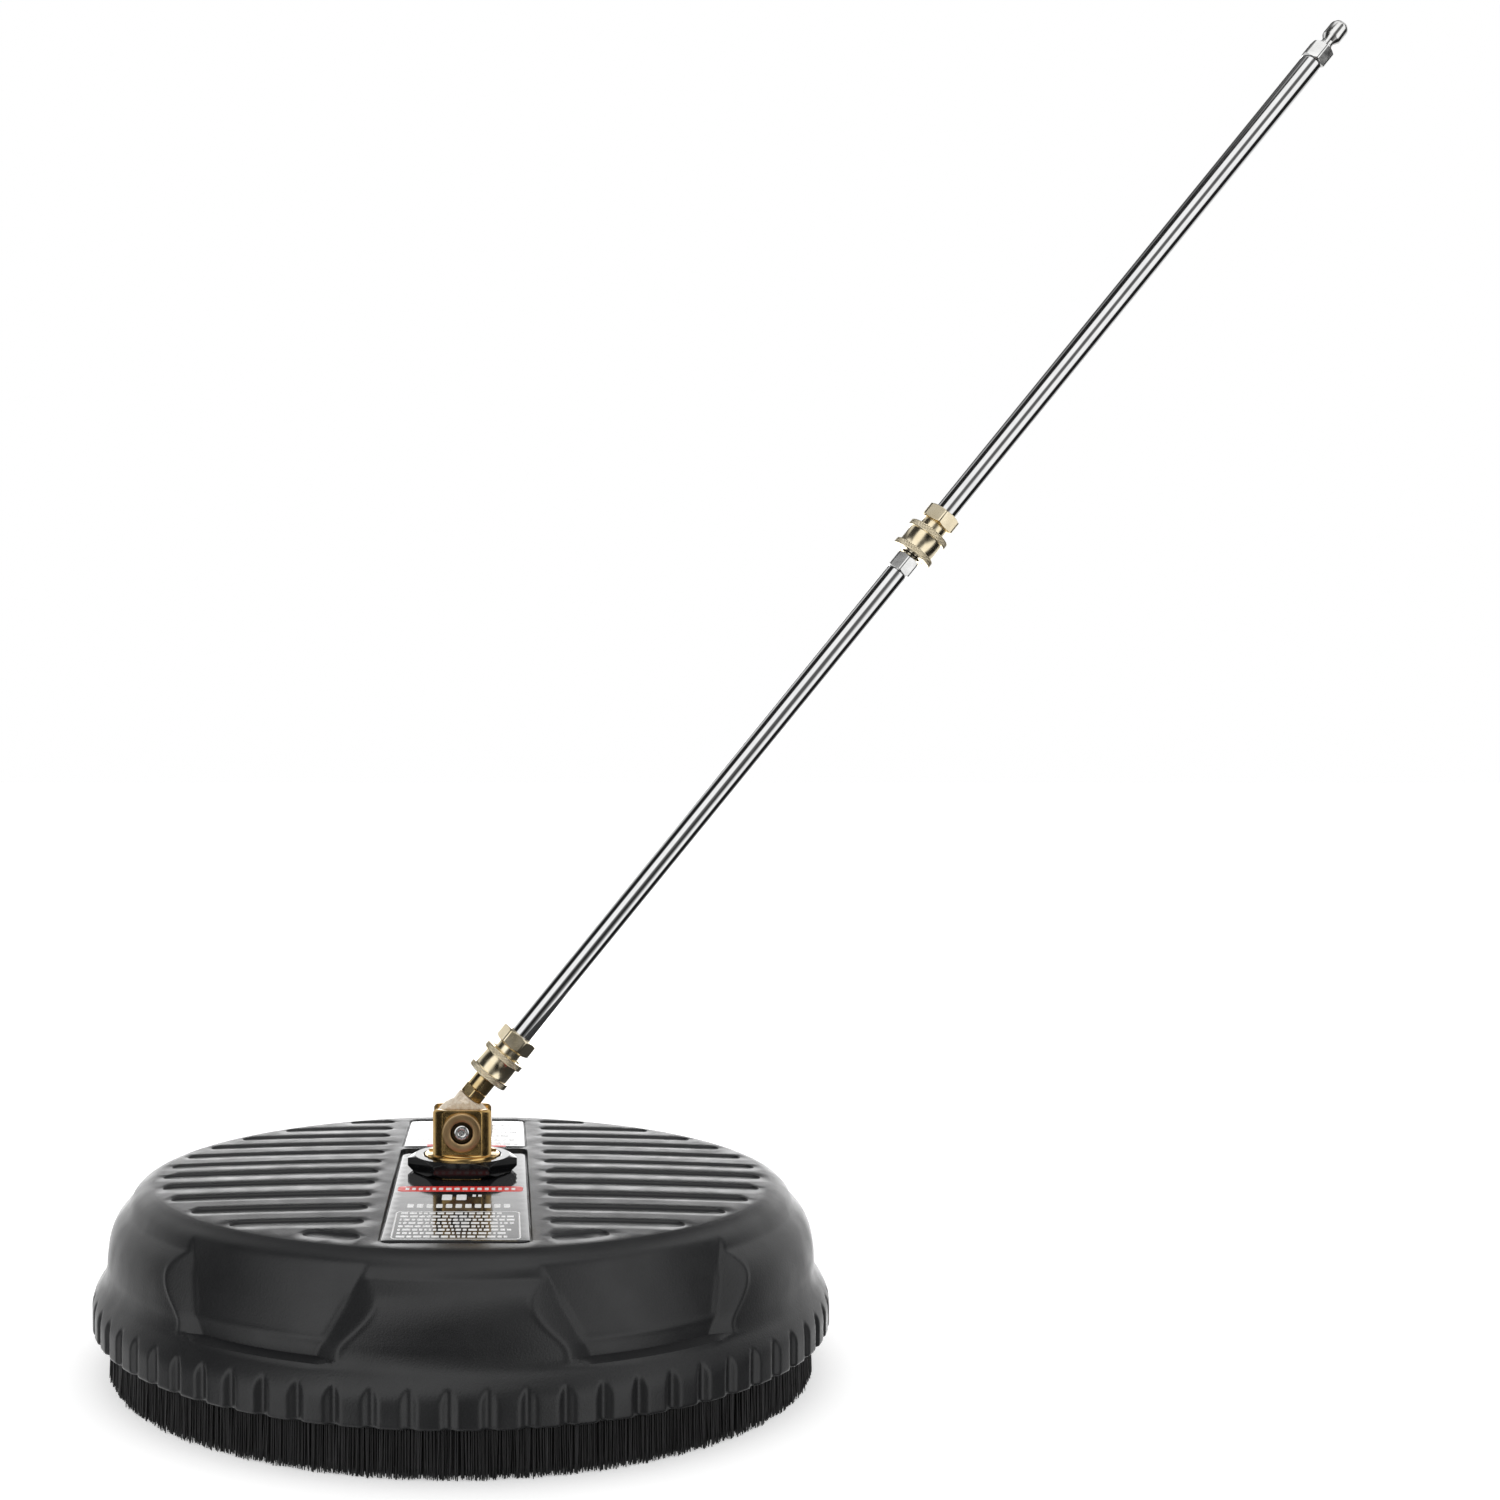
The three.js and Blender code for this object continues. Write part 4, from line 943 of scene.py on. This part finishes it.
def build_swivel():
    nut = hex_profile(NUT_FLATS, 100.9, 109.2, 21.25, 27.4, 26.2, 2.2, 14)
    nut = [(21.65, 100.9)] + nut[1:-1] + [(21.9, 109.2), (21.4, 109.0), (21.25, 108.6), (21.25, 101.3)]
    make("nut", *turned(nut, 288, closed=True), NUT_PLASTIC, "deck", "black_plastic", ["clamp_nut"], sharp=16)

    rounded = turned([(0, 92.5), (13, 92.5), (13, 107.5), (20.6, 107.5), (20.6, 109.9), (20.45, 110.25),
                      (20.1, 110.4), (18.7, 110.4), (18.2, 110.6), (YOKE_RADIUS, 111.1), (YOKE_RADIUS, 133.7),
                      (17.5, 134.7), (16.7, YOKE_TOP), (0, YOKE_TOP)], 160)
    steps = [
        ("DIFFERENCE", boxed(-30, -34.5, YOKE_FLAT_FOOT, 30, -YOKE_FLAT, 151)),
        ("DIFFERENCE", boxed(-30, YOKE_FLAT, YOKE_FLAT_FOOT, 30, 34.5, 151)),
        ("DIFFERENCE", boxed(-30, -YOKE_SLOT_HALF, YOKE_SLOT_FLOOR, 30, YOKE_SLOT_HALF, 151)),
        ("DIFFERENCE", pin_hole()),
    ]
    make("yoke", *carved(rounded, steps, 0.35), BRASS, "deck", "brass", ["pivot_yoke"], sharp=30)

    face = -14.8
    # Painted shade: a dark brass lining in the pin head's recess, put where the shadow falls.
    recess, f = turned([(0, face - 0.62), (5.5, face - 0.62), (5.73, face - 0.9), (5.96, face - 2.8)], 96)
    make("pin_recess_shade", along_y(recess), f, RECESS_SHADE_BRASS, "deck", "brass")
    head = [(0, face - 0.6), (5.5, face - 0.6), (5.75, face - 0.9), (6.0, face - 2.9), (6.15, face - 3.2),
            (6.5, face - 3.4), (9.9, face - 3.4), (10.2, face - 3.3), (10.5, face - 3.0), (10.5, face - 0.2),
            (10.3, face), (6.5, face), (6.5, 14.9), (5.2, 14.9), (5.2, 16.5), (6.5, 16.5), (6.5, 17.5),
            (0, 17.5)]
    p, f = turned(head, 144)
    make("pin", along_y(p), f, BRASS_FACE, "deck", "brass", ["pivot_pin"])
    screw = [(0, face - 1.4), (1.9, face - 1.4, 3.4), (1.9, face - 2.6, 3.4), (2.2, face - 2.8, 3.9),
             (3.3, face - 2.8), (3.9, face - 2.6), (4.2, face - 2.2), (4.2, face - 0.9), (2.6, face - 0.8),
             (2.6, face + 6), (0, face + 6)]
    p, f = turned(screw, 96)
    make("pin_screw", along_y(p), f, PLUG_STEEL, "deck", "stainless", ["pivot_screw"])

    ball = turned([(KNUCKLE_BALL * math.cos(t), PIVOT_Z + KNUCKLE_BALL * math.sin(t))
                   for t in np.linspace(-1.5707, 1.5707, 61)], 144)
    drum = turned(softened([(0, -KNUCKLE_HALF), (KNUCKLE_DRUM, -KNUCKLE_HALF),
                            (KNUCKLE_DRUM, KNUCKLE_HALF), (0, KNUCKLE_HALF)], 0.5), 144)
    neck = turned([(0, 2), (7, 2), (7, 14.9), (6.5, 15.5), (0, 15.5)], 96)
    ahead = boxed(-60, -60, -KNUCKLE_CUT, 60, 60, 80)
    steps = [
        ("INTERSECT", (on_wand(ahead[0]), ahead[1])),
        ("UNION", (along_y(drum[0]), drum[1])),
        ("UNION", (on_wand(neck[0]), neck[1])),
        ("INTERSECT", boxed(-60, -KNUCKLE_HALF, 60, 60, KNUCKLE_HALF, 200)),
        ("DIFFERENCE", pin_hole()),
    ]
    make("knuckle_body", *carved(ball, steps, 0.5), KNUCKLE_BRASS, "inlet", "brass", ["knuckle"], sharp=30)

    h, c = INLET_HEX, FIRST_RING
    plug = [(0, h - 4.8), (4.9, h - 4.8), (4.9, h)]
    plug += hex_profile(PLUG_FLATS, h, h + 6, 5, 6.1, 6.2, 0.75, 5)[1:-1]
    plug += [(6.35, h + 6.1), (6.35, c - 2.9), (6.0, c - 2.3), (4.3, c - 2), (4.2, c - 1.9), (3.3, c - 1.1),
             (3.3, c + 1.5), (5.25, c + 4), (5.25, c + 11.2), (4, c + 13.2), (2.25, c + 13.2),
             (2.25, c - 0.8), (0, c - 0.8)]
    p, f = turned(plug, 144, turn=0.414)
    make("inlet_fitting", on_wand(p), f, BRASS_WAND, "inlet", "brass", ["inlet_plug"], sharp=24)


# ---- wand

def knurled(low, high, radius, count=66, depth=0.32):
    """Changes the radii inside a ring into a diamond knurl."""
    pitch = TAU * radius / count

    def shape(angles, radii, z):
        inside = min(1.0, max(0.0, (z - low) / 0.35), max(0.0, (high - z) / 0.35))
        if inside <= 0 or radii[0] < radius - 0.6:
            return radii
        first = np.abs((angles * count / TAU + z / pitch) % 1 - 0.5) * 2
        second = np.abs((angles * count / TAU - z / pitch) % 1 - 0.5) * 2
        return radii - depth * inside * (1 - np.minimum(first, second))

    return shape


def build_sleeve(level, start):
    """The coupling's pull-back sleeve, with its two knurled rings."""
    def row(r0, z0, r1, z1, spacing=0.14):
        return resampled([(r0, z0), (r1, z1)], spacing)[1:]

    profile = [(8.0, -1.7), (11.5, -1.8), (11.85, -1.65), (12.0, -1.4)]
    profile += row(12.0, -1.4, 12.0, 1.4)
    profile += [(11.85, 1.65), (11.5, 1.75), (10.45, 1.8), (10.25, 2.1), (10.25, 10.9), (10.45, 11.2),
                (11.5, 11.25), (11.85, 11.35), (12.0, 11.6)]
    profile += row(12.0, 11.6, 12.0, 14.4)
    profile += [(11.85, 14.65), (11.5, 14.8), (9.4, 14.7), (9.0, 14.3), (9.0, 5.5), (7.65, 5.5), (7.65, -1.3)]
    low, high = knurled(-1.55, 1.55, 12.0), knurled(11.45, 14.55, 12.0)

    def shape(angles, radii, z):
        return low(angles, radii, z) if z < 6 else high(angles, radii, z)

    p, f = turned(profile, 528, closed=True, shape=shape)
    make(f"{level}_collar", on_wand(p, start), f, PALE_BRASS, f"{level}_coupling_sleeve", "pale_brass",
         [f"{level}_sleeve"], sharp=50)


def build_spring(level, start):
    """The sleeve's return spring."""
    angles = np.linspace(0, TAU * SPRING_TURNS, 113)[:, None]
    around = np.arange(12)[None, :] * TAU / 12
    radii = SPRING_RADIUS + SPRING_WIRE * np.cos(around)
    heights = np.linspace(6.4, 12.4, 113)[:, None] + SPRING_WIRE * np.sin(around)
    points = np.stack([radii * np.cos(angles), radii * np.sin(angles), heights], -1).reshape(-1, 3)
    faces = [(12 * k + i, 12 * k + (i + 1) % 12, 12 * k + 12 + (i + 1) % 12, 12 * k + 12 + i)
             for k in range(112) for i in range(12)]
    faces += [tuple(range(12)), tuple(range(12 * 112, 12 * 113))]
    spring = make(f"{level}_return_coil", on_wand(points, start), faces, STEEL, f"{level}_wand", "steel",
                  [f"{level}_sleeve_spring"])
    anchor = on_wand([(0, 0, SPRING_SEAT)], start)[0] * MM
    anchor[0] += DECK_X
    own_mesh(spring)


def build_wand(level, start, length, turn, plug_turn):
    body = f"{level}_wand"
    socket = [(7.3, -1.5), (7.3, 13.2), (8.6, 13.2), (8.6, 14.2), (7.3, 14.2), (7.3, 18.9), (7.6, 19.4)]
    hexagon = hex_profile(SOCKET_FLATS, 19.5, 28, 8, 9.1, 9.3, 1.0, 6)[1:-1]
    hexagon += [(9.0, 28), (6.9, 28), (6.3, 27.6), (6.3, 21.6), (2.25, 21.6), (2.25, 14.6), (5.65, 14.6),
                (5.65, -1.5)]
    p, f = turned(socket + hexagon, 192, closed=True, turn=turn)
    make(f"{level}_socket_body", on_wand(p, start), f, PALE_BRASS, body, "pale_brass", [f"{level}_socket"],
         sharp=24)

    end = length - 13.5
    outside = [(TUBE_RADIUS, z) for z in (21.8, 22.6, end - 1.1, end - 0.3)]
    bore = [(TUBE_BORE, z) for z in (end - 0.3, end - 1.1, 22.6)]
    tube = softened([(TUBE_BORE, 21.8)] + outside + bore, 0.15, 2, closed=True)
    p, f = turned(tube, 96, closed=True)
    make(f"{level}_pipe", on_wand(p, start), f, STAINLESS, body, "stainless", [f"{level}_tube"], sharp=60)

    plug = [(4.7, -12), (4.7, -0.1)] + hex_profile(PLUG_FLATS, 0, 10, 5, 6.1, 6.3, 0.8, 6)[1:-1]
    plug += [(4.9, 10), (4.6, 10.1), (4.3, 10.4), (4.2, 11.9), (3.6, 12.4), (3.3, 12.8), (3.3, 14.8),
             (3.6, 15.4), (4.4, 16.4), (5.05, 17.2), (5.25, 18.0), (5.25, 24.1), (5.1, 24.9), (4.3, 26.2),
             (3.9, 26.7), (3.0, 26.7), (2.4, 26.3), (2.25, 25.9), (2.25, -12)]
    plug = [(entry[0], entry[1] + end, *entry[2:]) for entry in plug]
    p, f = turned(plug, 144, closed=True, turn=plug_turn)
    make(f"{level}_nipple", on_wand(p, start), f, PLUG_STEEL, body, "stainless", [f"{level}_plug"], sharp=24)
    build_sleeve(level, start)
    build_spring(level, start)


# ---- carried-over nodes

def finish_cad_nodes():
    """Every CAD node that still shows gets its procedural finish."""
    by_slot = {"black_plastic": DECK_PLASTIC, "nylon": BRISTLE, "label": FILM, "rubber": RUBBER,
               "brass": BRASS, "pale_brass": PALE_BRASS, "stainless": STAINLESS, "steel": STEEL}
    slots = {part["node"]: part["material_slot"] for part in frame["record"]["subparts"]}
    for name, node in frame["nodes"].items():
        if node.hide_render:
            continue
        material = by_slot[slots[name]]
        node.data.materials.clear()
        node.data.materials.append(material)
        node.data.polygons.foreach_set("material_index", [0] * len(node.data.polygons))


# ---- studio

def studio():
    """The floor and the world. Only reflections see the world's bands; all other light is plain white."""
    floor = bpy.data.meshes.new("floor")
    floor.from_pydata([(-60, -60, 0), (60, -60, 0), (60, 60, 0), (-60, 60, 0)], [], [(0, 1, 2, 3)])
    floor = bpy.data.objects.new("floor", floor)
    bpy.context.scene.collection.objects.link(floor)
    m = Nodes("floor_white")
    grain = m.noise(m.place(), 6, 2)
    tint = m.mixed(grain, (0.86, 0.86, 0.86), (0.88, 0.88, 0.88))
    material = m.finish(tint, 0.9, None, Emission_Strength=0.4)
    shader = next(n for n in material.node_tree.nodes if n.type == "BSDF_PRINCIPLED")
    shader.inputs["Emission Color"].default_value = (1, 1, 1, 1)
    floor.data.materials.append(material)
    floor.visible_glossy = False

    world = bpy.data.worlds.new("studio")
    bpy.context.scene.world = world
    world.use_nodes = True
    w = Nodes("studio", world.node_tree)
    direction = w.add("ShaderNodeTexCoord").outputs["Generated"]
    parts = w.add("ShaderNodeSeparateXYZ", vector=direction)
    x, y, z = parts.outputs

    def math_node(operation, *values):
        node = w.add("ShaderNodeMath", set_operation=operation)
        for index, value in enumerate(values):
            if isinstance(value, bpy.types.NodeSocket):
                w.link(value, node.inputs[index])
            else:
                node.inputs[index].default_value = value
        return node.outputs[0]

    def stepped(value, low, high, from_low, from_high):
        node = w.add("ShaderNodeMapRange", set_interpolation_type="SMOOTHSTEP")
        w.link(value, node.inputs[0])
        for index, setting in enumerate((from_low, from_high, low, high), 1):
            node.inputs[index].default_value = setting
        return node.outputs[0]

    # how far round the wand's axis a direction lies: share is 0 towards the rear (+Y) and 1 towards the front
    beside = math_node("ADD", math_node("MULTIPLY", x, -math.cos(LEAN)),
                       math_node("MULTIPLY", z, math.sin(LEAN)))
    squares = math_node("ADD", math_node("MULTIPLY", beside, beside), math_node("MULTIPLY", y, y))
    across = math_node("SQRT", squares)
    front = math_node("DIVIDE", y, math_node("MAXIMUM", across, 0.001))
    share = math_node("MULTIPLY_ADD", front, -0.5, 0.5)
    ramp = w.tree.nodes.new("ShaderNodeValToRGB")
    w.link(share, ramp.inputs[0])
    stops = [(0.0, 0.9), (0.27, 0.75), (0.34, 0.015), (0.70, 0.015), (0.76, 1.15), (0.965, 1.2),
             (0.99, 0.16), (1.0, 0.12)]
    elements = ramp.color_ramp.elements
    while len(elements) < len(stops):
        elements.new(0.5)
    for element, (place, value) in zip(elements, stops):
        element.position = place
        element.color = (value, value, value, 1)
    # the strip of studio straight ahead and straight behind is darker than its sides
    middle = stepped(math_node("ABSOLUTE", x), 1.0, 0.0, 0.28, 0.58)
    behind = math_node("MULTIPLY", stepped(y, 0.0, 1.0, 0.1, 0.5), stepped(z, 0.0, 0.88, 0.06, 0.36))
    below = math_node("MULTIPLY", stepped(y, 1.0, 0.0, -0.7, -0.2), stepped(z, 0.9, 0.0, -0.12, 0.1))
    shade = math_node("MULTIPLY", middle, math_node("ADD", behind, below))
    banded = math_node("MULTIPLY", ramp.outputs[0], math_node("SUBTRACT", 1.0, shade))
    horizon = math_node("MULTIPLY", stepped(y, 0.0, 2.6, 0.6, 0.9), stepped(z, 1.0, 0.0, 0.12, 0.34))
    banded = math_node("MULTIPLY_ADD", middle, horizon, banded)
    above = stepped(z, 0.0, 1.0, 0.9, 0.98)
    mixed = math_node("ADD", math_node("MULTIPLY", above, 1.05),
                      math_node("MULTIPLY", banded, math_node("SUBTRACT", 1.0, above)))
    # reflections see the banded studio; everything else sees it plain white
    glossy = w.add("ShaderNodeLightPath").outputs["Is Glossy Ray"]
    value = math_node("ADD", math_node("MULTIPLY", glossy, mixed), math_node("SUBTRACT", 1.0, glossy))
    background = w.tree.nodes.new("ShaderNodeBackground")
    w.link(value, background.inputs[0])
    background.inputs[1].default_value = 1.0
    output = w.tree.nodes.new("ShaderNodeOutputWorld")
    w.link(background.outputs[0], output.inputs[0])

    scene = bpy.context.scene
    scene.view_settings.view_transform = "Standard"
    scene.view_settings.look = "None"
    scene.view_settings.exposure = 0.0


def camera():
    """Level, along +Y, with a shift that puts the object where the frame has it."""
    data = bpy.data.cameras.new("camera")
    data.lens = 44.72
    data.sensor_width = 36.0
    data.shift_x = 0.1643
    data.shift_y = 0.0161
    data.clip_start = 0.05
    data.clip_end = 200
    one = bpy.data.objects.new("camera", data)
    bpy.context.scene.collection.objects.link(one)
    one.location = (DECK_X + 0.02277, -1.03027, 0.31907)
    one.rotation_euler = (math.pi / 2, 0, 0)
    bpy.context.scene.camera = one


camera()
studio()
build_deck()
build_labels()
build_brush()
build_swivel()
build_wand("lower", FIRST_RING, LOWER_LENGTH, 0.915, 0.436)
build_wand("upper", FIRST_RING + LOWER_LENGTH, UPPER_LENGTH, 0.45, 0.536)
finish_cad_nodes()
